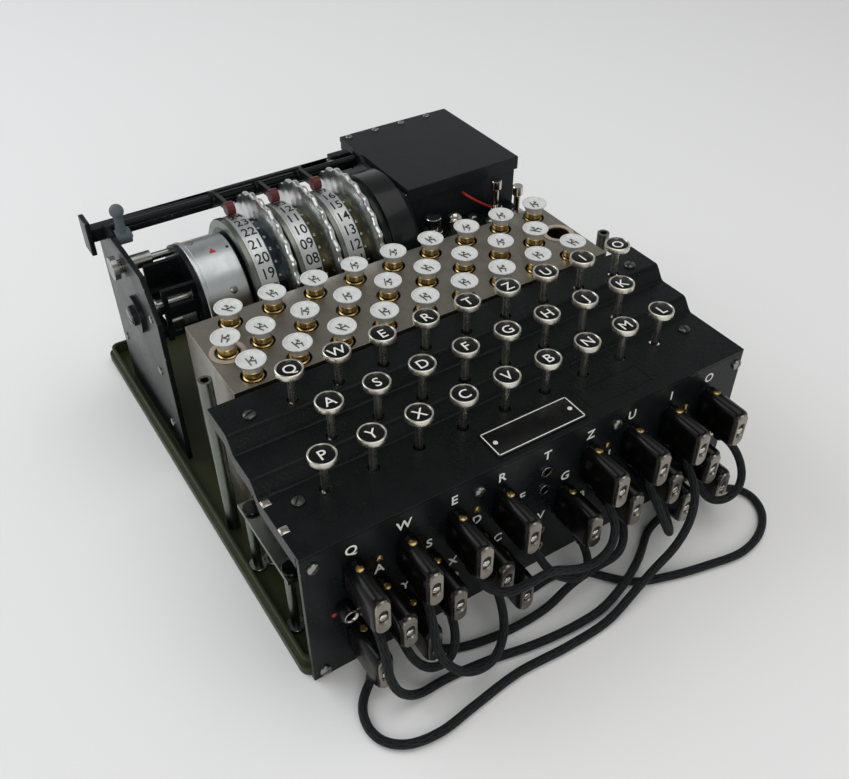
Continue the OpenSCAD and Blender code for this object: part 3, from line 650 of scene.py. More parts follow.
def moulded(name, base, stain, roughness, coat=0.0, amount=0.3):
    """Bakelite, card or paint without metal under it"""
    plastic = Finish(name, Coat_Weight=coat, Coat_Roughness=0.08, Specular_IOR_Level=0.2)
    skin = plastic.patina(base, stain, 160.0, amount, roughness)
    plastic.feed(Base_Color=skin["Color"], Roughness=skin["Roughness"])
    plastic.bump(noise(plastic.tree, object_place(plastic.tree), 500.0, 2.0), 0.06, 0.1)


def lens_finish(base):
    """Frosted lens with the lamp's parts faintly seen through it"""
    lens = Finish("lamp_lens", Coat_Weight=0.6, Coat_Roughness=0.12)
    cells = put(lens.tree, "ShaderNodeTexVoronoi", {"Vector": object_place(lens.tree), "Scale": 420.0},
                feature="DISTANCE_TO_EDGE").outputs["Distance"]
    lines = ramp(lens.tree, cells, 0.02, 0.09)
    skin = lens.patina(base, tuple(0.72 * c for c in base), 300.0, 0.8, 0.32)
    faint = arithmetic(lens.tree, "MULTIPLY", arithmetic(lens.tree, "SUBTRACT", 1.0, lines), 0.16)
    lens.feed(Base_Color=mix_colour(lens.tree, faint, skin["Color"], (0.35, 0.35, 0.34)),
              Roughness=skin["Roughness"])
    lens.bump(lines, 0.25, 0.15)


def braid_finish(base, diameter):
    """Waxed cotton braid, with painted shade in the grooves of its weave"""
    cotton = Finish("braid", Sheen_Weight=0.04, Sheen_Roughness=0.5, Specular_IOR_Level=0.15)
    weave = cotton.group("Braid", Around=8.0, Along=1.0 / (2.4 * diameter / 0.0045 * MM) * MM)
    skin = cotton.patina(base, tuple(2.4 * c for c in base), 200.0, 0.5, 0.66)
    # Painted shade: the weave's grooves darken to about a third of the cord's colour
    shade = mix_colour(cotton.tree, weave["Painted_shade"], tuple(0.35 * c for c in base), skin["Color"])
    cotton.feed(Base_Color=shade, Roughness=skin["Roughness"])
    cotton.bump(weave["Height"], 0.8, 0.35)


# ---------------------------------------------------------------- operators

class MachineStep(bpy.types.Operator):
    """One step of the machine's making"""
    bl_options = {"REGISTER", "UNDO"}

    def execute(self, context):
        self.make(context.scene.machine_sizes, context.scene.machine_colours)
        return {"FINISHED"}


class SetStage(MachineStep):
    """Camera, floor, world and lamps"""
    bl_idname = "machine.set_stage"
    bl_label = "Stage"

    def make(self, sizes, colours):
        scene = bpy.context.scene
        scene.view_settings.view_transform = "Standard"
        camera = bpy.data.objects.new("camera", bpy.data.cameras.new("camera"))
        camera.data.lens = CAMERA_LENS
        camera.data.clip_start = 0.01
        camera.location = CAMERA_AT
        camera.rotation_euler = (math.pi / 2 - CAMERA_PITCH, 0, -CAMERA_YAW)
        scene.collection.objects.link(camera)
        scene.camera = camera

        bm = bmesh.new()
        bmesh.ops.create_grid(bm, x_segments=1, y_segments=1, size=4)
        mesh = bpy.data.meshes.new("floor")
        bm.to_mesh(mesh)
        bm.free()
        floor = bpy.data.objects.new("floor", mesh)
        scene.collection.objects.link(floor)
        mesh.materials.append(self.floor_material())

        self.world(scene)
        self.lamp("window", (-0.9, 1.0, 1.15), (1.3, 1.0), 10.0, (0.93, 0.97, 1.0))
        self.lamp("overhead", (0.3, -0.1, 1.5), (1.2, 1.2), 5.5, (1.0, 0.99, 0.97))
        self.lamp("front_fill", (-0.5, -1.3, 0.75), (0.9, 0.7), 4.5, (1.0, 0.98, 0.95))

    def lamp(self, name, at, size, power, tint):
        data = bpy.data.lights.new(name, "AREA")
        data.shape = "RECTANGLE"
        data.size, data.size_y = size
        data.energy = power
        data.color = tint
        lamp = bpy.data.objects.new(name, data)
        lamp.location = at
        lamp.rotation_euler = (Vector((0, 0, 0.08)) - Vector(at)).to_track_quat("-Z", "Y").to_euler()
        bpy.context.scene.collection.objects.link(lamp)

    def world(self, scene):
        world = bpy.data.worlds.new("studio")
        scene.world = world
        world.use_nodes = True
        tree = world.node_tree
        back = tree.nodes["Background"]
        path = put(tree, "ShaderNodeLightPath").outputs
        way = put(tree, "ShaderNodeTexCoord").outputs["Generated"]
        height = put(tree, "ShaderNodeSeparateXYZ", {"Vector": way}).outputs["Z"]
        mirrored = put(tree, "ShaderNodeMapRange", {"Value": height, "From Min": 0.05, "From Max": 0.65,
                                                    "To Min": 0.8, "To Max": 0.2}).outputs["Result"]
        soft = put(tree, "ShaderNodeMapRange", {"Value": path["Is Glossy Ray"], "To Min": 0.42,
                                                "To Max": mirrored}).outputs["Result"]
        strength = put(tree, "ShaderNodeMapRange", {"Value": path["Is Camera Ray"], "To Min": soft,
                                                    "To Max": 1.0})
        tree.links.new(strength.outputs["Result"], back.inputs["Strength"])
        back.inputs["Color"].default_value = (1, 1, 1, 1)

    def floor_material(self):
        floor = Finish("floor", Roughness=0.8)
        floor.shader.inputs["Base Color"].default_value = (0.9, 0.9, 0.9, 1)
        return floor.material


class MakeFinishes(MachineStep):
    """All paints, metals and plastics"""
    bl_idname = "machine.make_finishes"
    bl_label = "Finishes"

    def make(self, sizes, colours):
        for build in (patina_group, edge_wear_group, wrinkle_group, streak_group, braid_group):
            build()
        painted("wrinkle_enamel", colours.enamel, (0.007, 0.0105, 0.011), 0.3, 0.2, wrinkle=0.6)
        painted("black_paint", colours.panel, (0.015, 0.018, 0.02), 0.3, 0.3)
        painted("lid_paint", (0.010, 0.0125, 0.0145), (0.02, 0.024, 0.027), 0.42, 0.18, wrinkle=0.3)
        painted("plate_black", (0.004, 0.004, 0.0045), (0.008, 0.008, 0.008), 0.3, 0.1)
        painted("olive_paint", colours.olive, (0.016, 0.018, 0.008), 0.42, 0.3, metal=(0.06, 0.066, 0.035))
        painted("grey_paint", (0.11, 0.135, 0.15), (0.07, 0.085, 0.09), 0.42, 0.3)
        plated("bright_nickel", colours.nickel, (0.34, 0.31, 0.26), 0.17, 0.5)
        plated("key_nickel", (0.72, 0.70, 0.62), (0.46, 0.44, 0.38), 0.3, 0.5)
        plated("satin_nickel", colours.satin, (0.21, 0.185, 0.145), 0.38, 0.8,
               stretch=(40.0, 1500.0, 40.0), bump=0.08)
        # Painted reflection: grey metal for the plugs' end plates, in place of the light that their glossy
        # bakelite ends reflect
        plated("plug_plate", (0.34, 0.32, 0.28), (0.13, 0.10, 0.075), 0.32, 0.8,
               stretch=(1600.0, 1600.0, 60.0), bump=0.2)
        plated("plated_steel", (0.34, 0.34, 0.32), (0.14, 0.135, 0.12), 0.3, 0.7)
        plated("dull_steel", (0.11, 0.115, 0.105), (0.05, 0.05, 0.045), 0.36, 0.7)
        plated("post_steel", (0.20, 0.215, 0.19), (0.10, 0.11, 0.09), 0.34, 0.6, stretch=(400.0, 400.0, 30.0))
        plated("drum_metal", colours.drum, (0.40, 0.425, 0.43), 0.4, 0.6, stretch=(2200.0, 40.0, 40.0))
        plated("ring_metal", (0.62, 0.64, 0.64), (0.44, 0.45, 0.44), 0.44, 0.5, stretch=(2200.0, 40.0, 40.0))
        plated("wheel_steel", (0.66, 0.67, 0.66), (0.40, 0.41, 0.40), 0.32, 0.5,
               stretch=(2200.0, 60.0, 60.0))
        plated("brass", colours.brass, (0.25, 0.17, 0.07), 0.28, 0.7)
        plated("rotor_olive", (0.085, 0.08, 0.045), (0.04, 0.04, 0.025), 0.4, 0.7, stretch=(2200.0, 40.0, 40.0))
        plated("rotor_blue", (0.03, 0.042, 0.05), (0.012, 0.016, 0.02), 0.34, 0.6, stretch=(2200.0, 40.0, 40.0))
        moulded("bakelite", (0.0030, 0.0029, 0.0029), (0.007, 0.0065, 0.006), 0.26, coat=0.1)
        moulded("rotor_bakelite", (0.007, 0.009, 0.009), (0.016, 0.015, 0.012), 0.34, coat=0.2)
        moulded("key_insert", (0.0035, 0.0035, 0.0035), (0.008, 0.0078, 0.0075), 0.16, coat=0.2)
        moulded("letter_paint", colours.lettering, tuple(0.75 * c for c in colours.lettering), 0.5)
        moulded("digit_paint", (0.010, 0.012, 0.014), (0.02, 0.02, 0.02), 0.5)
        moulded("filament", (0.10, 0.10, 0.10), (0.05, 0.05, 0.05), 0.4)
        moulded("red_paint", colours.red, tuple(0.6 * c for c in colours.red), 0.4)
        moulded("red_fibre", (0.10, 0.018, 0.02), (0.05, 0.012, 0.012), 0.45, coat=0.2)
        moulded("wire_red", (0.40, 0.03, 0.02), (0.2, 0.02, 0.015), 0.42)
        moulded("label_card", (0.42, 0.36, 0.29), (0.30, 0.25, 0.19), 0.6, amount=0.6)
        moulded("board_brown", (0.16, 0.075, 0.03), (0.08, 0.04, 0.02), 0.5, amount=0.6)
        moulded("battery_card", (0.33, 0.25, 0.15), (0.2, 0.15, 0.09), 0.7, amount=0.6)
        lens_finish(colours.lens)
        braid_finish(colours.cord, sizes.cord_diameter)


def socket_place(letter):
    """x and z in millimetres of the middle of a letter's pair of sockets"""
    row = next(i for i, letters in enumerate(ROWS) if letter in letters)
    return SOCKET_FIRST_X[row] + PLUG_PITCH * ROWS[row].index(letter), SOCKET_ROW_Z[row]


def exit_heading(turn):
    """The way a cord leaves a plug: half down and half towards the plug's turn in degrees"""
    return Vector((math.sin(math.radians(turn)), -math.cos(math.radians(turn)), -1)).normalized()


def gland_foot(letter):
    """Where a plug's gland starts under its body, in millimetres"""
    x, z = socket_place(letter)
    return Vector((x, PANEL_FACE_Y - GLAND_AT[0], z - GLAND_AT[1]))


def smooth_route(points, first_heading, last_heading, step=1.3, passes=14):
    """A smooth line through points, square out of both plugs, sampled about every step millimetres"""
    count = len(points)
    spans = [(b - a).length for a, b in zip(points, points[1:])]
    slopes = [first_heading]
    for i in range(1, count - 1):
        before = (points[i] - points[i - 1]) / spans[i - 1]
        after = (points[i + 1] - points[i]) / spans[i]
        slopes.append((before * spans[i] + after * spans[i - 1]).normalized())
    slopes.append(-last_heading)
    line = []
    for i, span in enumerate(spans):
        steps = max(2, round(span / step))
        for k in range(steps):
            t = k / steps
            a, b = points[i], points[i + 1]
            line.append((2 * t**3 - 3 * t**2 + 1) * a + (t**3 - 2 * t**2 + t) * span * slopes[i]
                        + (3 * t**2 - 2 * t**3) * b + (t**3 - t**2) * span * slopes[i + 1])
    line.append(points[-1])
    return relaxed(line, passes)


def relaxed(line, passes, held=2):
    """The line with its bends eased out, its two ends held, and nowhere under the table's top"""
    lowest = bpy.context.scene.machine_sizes.cord_diameter / MM / 2 + 0.02
    for _ in range(passes):
        line = [p if i < held or i >= len(line) - held else (line[i - 1] + 2 * p + line[i + 1]) / 4
                for i, p in enumerate(line)]
    return [Vector((p.x, p.y, max(p.z, lowest))) for p in line]


def tube(name, line, diameter, material, sides=14, body=CHASSIS):
    """A closed tube along a line in millimetres, its UV map in turns across and diameters along"""
    bm = bmesh.new()
    uv = bm.loops.layers.uv.new("cord")
    ring = bmesh.ops.create_circle(bm, segments=sides, radius=mm(diameter / 2))["verts"]
    edges = list({e for v in ring for e in v.link_edges})
    turn = {v: k for k, v in enumerate(ring)}
    heading = (line[1] - line[0]).normalized()
    across = heading.orthogonal().normalized()
    travel = 0.0
    along = {}
    for i, point in enumerate(line):
        ahead = line[min(i + 1, len(line) - 1)] - line[max(i - 1, 0)]
        swing = heading.rotation_difference(ahead.normalized())
        across.rotate(swing)
        heading = ahead.normalized()
        over = heading.cross(across)
        if i:
            travel += (point - line[i - 1]).length / diameter
            grown = bmesh.ops.extrude_edge_only(bm, edges=edges)["geom"]
            faces = [g for g in grown if isinstance(g, bmesh.types.BMFace)]
            fresh = [g for g in grown if isinstance(g, bmesh.types.BMVert)]
            for v in fresh:
                old = next(e.other_vert(v) for e in v.link_edges if e.other_vert(v) in turn)
                along[v] = (turn[old], travel)
            edges = [g for g in grown if isinstance(g, bmesh.types.BMEdge)
                     and all(v in along for v in g.verts)]
            paint_uv(faces, uv, turn, along, sides)
            turn = {v: along[v][0] for v in fresh}
        else:
            along = {v: (k, 0.0) for v, k in turn.items()}
        for v, k in turn.items():
            a = math.tau * k / sides
            v.co = (point + diameter / 2 * (math.cos(a) * across + math.sin(a) * over)) * MM
        along = {v: (k, travel) for v, k in turn.items()}
    bmesh.ops.holes_fill(bm, edges=bm.edges, sides=sides)
    bmesh.ops.recalc_face_normals(bm, faces=bm.faces)
    return finished(name, bm, material, body)


def paint_uv(faces, uv, turn, along, sides):
    """UVs of one ring of a tube's faces, from each corner's place round and along the tube"""
    for face in faces:
        corners = [(turn.get(loop.vert, along.get(loop.vert, (0, 0))[0]), along[loop.vert][1])
                   for loop in face.loops]
        wraps = max(k for k, _ in corners) - min(k for k, _ in corners) > 1
        for loop, (k, far) in zip(face.loops, corners):
            loop[uv].uv = ((k + sides if wraps and k == 0 else k) / sides, far)


class MakeLeads(MachineStep):
    """Ten braided patch cords with their plugs"""
    bl_idname = "machine.make_leads"
    bl_label = "Patch leads"

    def make(self, sizes, colours):
        for first, first_turn, last, last_turn, points in LEADS:
            plugs = [self.plug(first, first_turn), self.plug(last, last_turn)]
            headings = exit_heading(first_turn), exit_heading(last_turn)
            ends = [gland_foot(letter) + GLAND_LENGTH * way for letter, way in zip((first, last), headings)]
            line = smooth_route([ends[0], *map(Vector, points), ends[1]], *headings)
            piece = tube(f"cord_{first}_{last}", line, sizes.cord_diameter / MM, "braid")
            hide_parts("patch_cords")

    def plug(self, letter, turn):
        """A two-pin plug: bakelite body, end plate with its recess (a painted reflection on the glossy end),
        screws, gland and pins
        """
        x, z = socket_place(letter)
        at = (x, PANEL_FACE_Y - PLUG_BACK, z)
        end = -PLUG_LENGTH
        bm = bmesh.new()
        loft(bm, [(PLUG_W - 1.0, PLUG_H - 1.0, 0), (PLUG_W, PLUG_H, -0.7), (PLUG_W, PLUG_H, end + 3.4),
                  (PLUG_W - 0.25, PLUG_H - 0.25, end + 2.6), (PLUG_W - 0.9, PLUG_H - 0.9, end + 1.7),
                  (PLUG_W - 1.6, PLUG_H - 1.6, end + 1.3)], at)
        gland = [(0, 0), (2.9, 0), (3.4, 0.6), (3.4, 2.4), (3.0, 3.4), (2.75, 5.0), (0, 5.0)]
        lean = Matrix.Rotation(math.radians(turn), 4, "Z") @ Matrix.Rotation(math.radians(135), 4, "X")
        lathe(bm, gland, gland_foot(letter), lean, steps=20)
        body = finished("plug_" + letter, bm, "bakelite", CHASSIS, ["patch_plugs"])

        # Painted reflection: the streaked grey end plate stands in for the light reflected by the glossy bakelite
        # end
        bm = bmesh.new()
        loft(bm, [(PLUG_W - 2.8, PLUG_H - 3.0, end + 1.6), (PLUG_W - 2.8, PLUG_H - 3.0, end + 0.6),
                  (PLUG_W - 3.3, PLUG_H - 3.6, end + 0.05)], at)
        hole = bmesh.new()
        loft(hole, [(4.2, 8.6, end + 0.9), (4.8, 10.0, end - 0.1)], at)
        finished(f"plug_{letter}_plate", carve(bm, hole), "plug_plate", CHASSIS)

        bm = bmesh.new()
        loft(bm, [(4.1, 8.4, end + 1.1), (4.1, 8.4, end + 0.8)], at)
        finished(f"plug_{letter}_recess", bm, "digit_paint", CHASSIS)
        screws(f"plug_{letter}_screws",
               [(x, at[1] + 0.85 + end, at[2] - 0.4, TO_FRONT, 2.0, 0.8)], "bright_nickel", CHASSIS,
               seed=ord(letter))
        screws(f"plug_{letter}_clamp_screw",
               [(x, PANEL_FACE_Y - 7.0, z + PLUG_H / 2 - 0.15, None, 2.0, 0.7)], "brass", CHASSIS,
               seed=ord(letter))
        bm = bmesh.new()
        for side in (-0.5, 0.5):
            lathe(bm, [(0, -11), (1.5, -11), (1.95, -10.4), (1.95, 0.4), (0, 0.4)],
                  (x, at[1], z + side * SOCKET_GAP), TO_FRONT, steps=16)
        finished(f"plug_{letter}_pins", bm, "bright_nickel", CHASSIS)
        return body


class MakePanel(MachineStep):
    """Plug panel, sockets, letters and screws"""
    bl_idname = "machine.make_panel"
    bl_label = "Plug panel"

    def make(self, sizes, colours):
        dressed("front_panel", ["black_paint"])
        dressed("plug_sockets", ["bright_nickel"], width=0.15)
        self.test_sockets()
        words = bmesh.new()
        for row, letters in enumerate(ROWS):
            for letter in letters:
                x, _ = socket_place(letter)
                one = flat_text(letter.upper(), sizes.panel_letter, weight=0.14)
                placed(one, one.verts[:], (x, PANEL_FACE_Y, PANEL_LETTER_Z[row]), TO_FRONT)
                pour(words, one)
        finished("panel_letters", words, "letter_paint", CHASSIS)
        dot = bmesh.new()
        lathe(dot, [(0, -0.2), (1.3, -0.2), (1.2, 0.25), (0.7, 0.5), (0, 0.6)],
              (RED_DOT[0], PANEL_FACE_Y, RED_DOT[1]), TO_FRONT, steps=16)
        finished("test_dot", dot, "red_paint", CHASSIS)
        screws("panel_screws", [(x, PANEL_FACE_Y, z, TO_FRONT, 3.0, 1.8) for x, z in PANEL_SCREWS])
        places = [(MIDDLE_X + side * x, y, TERRACE_Z[terrace], None, 3.2, 1.6)
                   for side in (-1, 1) for x, y, terrace in COVER_SCREWS]
        screws("cover_screws", places, "dull_steel", replaces=["case_screws"])
        screws("panel_brass_screws", [(x, PANEL_FACE_Y, z, TO_FRONT, 1.9, 1.0) for x, z in BRASS_SCREWS],
               "brass", CHASSIS)

    def test_sockets(self):
        collars, rings = bmesh.new(), bmesh.new()
        for x in TEST_SOCKET_X:
            at = (x, PANEL_FACE_Y, TEST_SOCKET_Z)
            lathe(collars, [(4.2, 0), (4.6, 0.4), (4.6, 7.3), (4.3, 7.8), (3.75, 7.9), (3.75, 6.9),
                            (2.05, 6.9), (2.05, -11), (3.8, -11), (3.8, 0), (4.2, 0)], at, TO_FRONT)
            lathe(rings, [(2.4, 6.8), (3.7, 6.8), (3.7, 7.8), (3.4, 7.95), (2.7, 7.7), (2.4, 7.3), (2.4, 6.8)],
                  at, TO_FRONT)
        finished("test_socket_collars", collars, "bakelite", CHASSIS, ["test_sockets"])
        finished("test_socket_rings", rings, "bright_nickel", CHASSIS)


class MakeCover(MachineStep):
    """Stepped key cover with its bare plate, scribed frame and the works below it"""
    bl_idname = "machine.make_cover"
    bl_label = "Key cover"

    def make(self, sizes, colours):
        dressed("key_cover", ["wrinkle_enamel"], width=0.3)
        dressed("key_frame", ["plated_steel"], width=0)
        dressed("contact_boards", ["board_brown"], width=0)
        dressed("base_tray", ["olive_paint"], width=0.8)
        dressed("chassis_posts", ["post_steel"], width=0.3)
        self.stay_ends()
        self.clips()
        self.name_plate()

    def stay_ends(self):
        """Black oval caps on the stays, and the bright foot of each post on the tray"""
        caps, feet = bmesh.new(), bmesh.new()
        for side in (-1, 1):
            for x, y in STAY_POSTS:
                lathe(caps, [(0, -0.1), (4.6, -0.1), (5.0, 0.3), (5.0, 1.5), (4.6, 2.0), (0, 2.2)],
                      (MIDDLE_X + side * x * 0.985, y, STAY_TOP_Z), steps=24)
            for x, y in [post[:2] for post in (*COVER_SCREWS, *STAY_POSTS)]:
                lathe(feet, [(2.4, 0), (5.2, 0), (5.2, 0.7), (4.8, 1.1), (2.4, 1.1), (2.4, 0)],
                      (MIDDLE_X + side * x, y, TRAY_FLOOR_Z), steps=24)
        finished("stay_caps", caps, "bakelite", CHASSIS)
        finished("post_feet", feet, "post_steel", CHASSIS)

    def clips(self):
        """Two small bright clips over the cover's left edge"""
        bm = bmesh.new()
        for x, y in CLIPS:
            block(bm, (x - 0.7, y - 2.2, TERRACE_Z[0] - 5), (x + 0.4, y + 2.2, TERRACE_Z[0] + 0.2), 0.3)
            block(bm, (x - 0.3, y - 2.2, TERRACE_Z[0] - 0.2), (x + 3.6, y + 2.2, TERRACE_Z[0] + 0.5), 0.2)
        finished("edge_clips", bm, "bright_nickel", CHASSIS)

    def name_plate(self):
        top = TERRACE_Z[0]
        (left, front), (right, back) = NAME_PLATE
        painted_reflection = bmesh.new()
        block(painted_reflection, (left, front, top - 0.1), (right, back, top + 0.7), 0.2)
        finished("name_plate", painted_reflection, "plate_black", CHASSIS)
        border = bmesh.new()
        self.outline(border, (left + 0.9, front + 0.9), (right - 0.9, back - 0.9), 0.55, top + 0.6, top + 0.78)
        finished("name_plate_border", border, "letter_paint", CHASSIS)
        rivets = bmesh.new()
        for x in (left + 4.4, right - 4.4):
            lathe(rivets, [(0, 0.5), (1.3, 0.5), (1.2, 0.95), (0.7, 1.2), (0, 1.3)],
                  (x, (front + back) / 2, top), steps=16)
        finished("name_plate_rivets", rivets, "letter_paint", CHASSIS)
        scribed = bmesh.new()
        self.outline(scribed, *SCRIBED_FRAME, 0.4, top - 0.1, top + 0.14)
        finished("scribed_frame", scribed, "black_paint", CHASSIS)

    def outline(self, bm, low, high, width, foot, top):
        """Four flat strips of width round a rectangle"""
        for a, b in (((low[0], low[1]), (high[0], low[1] + width)), ((low[0], high[1] - width), high),
                     (low, (low[0] + width, high[1])), ((high[0] - width, low[1]), high)):
            block(bm, (*a, foot), (*b, top))


class MakeKeys(MachineStep):
    """Twenty-six keys, each a stem with a ring cap, a black insert and a letter"""
    bl_idname = "machine.make_keys"
    bl_label = "Keys"

    def make(self, sizes, colours):
        for letter in "".join(ROWS):
            node = "key_" + letter
            low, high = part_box(node)
            x, y, top = (low.x + high.x) / 2 / MM, (low.y + high.y) / 2 / MM, high.z / MM
            foot = low.z / MM - top
            collar = 76.0 - top
            at = (x, y, top)
            bm = bmesh.new()
            lathe(bm, [(0, foot), (1.7, foot), (1.95, foot + 0.4), (1.95, -4.9), (2.4, -4.5), (4.2, -3.9),
                       (5.9, -3.55), (6.6, -3.3), (6.9, -2.95), (6.9, -0.45), (6.75, -0.14), (6.45, 0),
                       (6.15, -0.04), (5.95, -0.25), (5.86, -1.0), (0, -1.0)], at, steps=40)
            lathe(bm, [(1.9, collar), (3.0, collar), (3.2, collar + 0.3), (3.2, collar + 1.7), (3.0, collar + 2),
                       (1.9, collar + 2)], at, steps=20)
            finished(node + "_metal", bm, "key_nickel", node, [node])
            bm = bmesh.new()
            lathe(bm, [(0, -1.02), (5.84, -1.02), (5.84, -0.78), (5.3, -0.68), (0, -0.6)], at, steps=40)
            finished(node + "_insert", bm, "key_insert", node)
            one = flat_text(letter.upper(), sizes.key_letter, 0.1, 0.02)
            placed(one, one.verts[:], (x, y, top - 0.6))
            finished(node + "_letter", one, "letter_paint", node)


class MakeLamps(MachineStep):
    """Lamp plate, lenses with brass necks, and the bare ring labels"""
    bl_idname = "machine.make_lamps"
    bl_label = "Lamps"

    def make(self, sizes, colours):
        dressed("lamp_plate", ["satin_nickel"], width=0.25)
        low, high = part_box("lamp_bulbs")
        top, foot = high.z / MM, low.z / MM
        r = sizes.lens_radius / MM
        lenses, necks, marks = bmesh.new(), bmesh.new(), bmesh.new()
        spread = random.Random(11)
        for x, y in self.places():
            at = (x, y, top)
            lathe(lenses, [(0, -5.6), (4.7, -5.6), (5.0, -5.2), (r - 0.9, -1.3), (r - 0.1, -0.65), (r, -0.35),
                           (r - 0.15, -0.05), (r - 0.45, 0), (r - 0.75, -0.1), (r - 1.0, -0.5),
                           (r - 2.2, -0.95), (r - 4.2, -1.25), (0, -1.4)], at, steps=32)
            lathe(necks, [(0, foot - top), (5.2, foot - top), (5.2, -10.6), (4.6, -10.2), (4.6, -9.2),
                          (5.0, -8.8), (5.0, -6.2), (4.9, -5.8), (4.6, -5.5), (0, -5.5)], at, steps=32)
            self.filament(marks, at, spread)
        finished("lamp_lenses", lenses, "lamp_lens", CHASSIS, ["lamp_bulbs"])
        finished("lamp_necks", necks, "brass", CHASSIS)
        finished("lamp_filaments", marks, "filament", CHASSIS)
        labels = bmesh.new()
        for x, y in (TEST_LAMP, TEST_HOLE):
            lathe(labels, [(6.9, -0.1), (9.5, -0.1), (9.5, 0.25), (6.9, 0.25), (6.9, -0.1)],
                  (x, y, LAMP_PLATE_Z), steps=40)
        finished("hole_labels", labels, "label_card", CHASSIS)

    def filament(self, bm, at, spread):
        """The lamp's wires and posts, which show as thin dark strokes in its frosted face"""
        turn = Matrix.Rotation(spread.uniform(-0.6, 0.6), 4, "Z")
        strokes = ((-1.3, -3.6, 0.55, 6.4, 0.1), (1.2, -3.6, 0.5, 3.4, -0.25), (-0.9, -0.2, 0.45, 3.8, -0.75),
                   (-1.0, 0.4, 0.4, 3.2, -2.1), (1.7, 0.9, 0.4, 2.4, 0.5))
        for x, y, width, length, lean in strokes:
            verts = bar(bm, width, length, 0.5)
            bmesh.ops.translate(bm, vec=mm(0, length / 2, 0), verts=verts)
            bmesh.ops.transform(bm, matrix=Matrix.Rotation(lean, 4, "Z"), verts=verts)
            bmesh.ops.translate(bm, vec=mm(x, y, 0), verts=verts)
            placed(bm, verts, (at[0], at[1], at[2] - 1.15), turn)

    def places(self):
        for row, letters in enumerate(ROWS):
            for letter in letters:
                low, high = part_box("key_" + letter)
                yield (low.x + high.x) / 2 / MM, LAMP_ROW_Y[row]
        yield TEST_LAMP


CORE_FINISHES = ("rotor_blue", "rotor_olive", "rotor_olive")


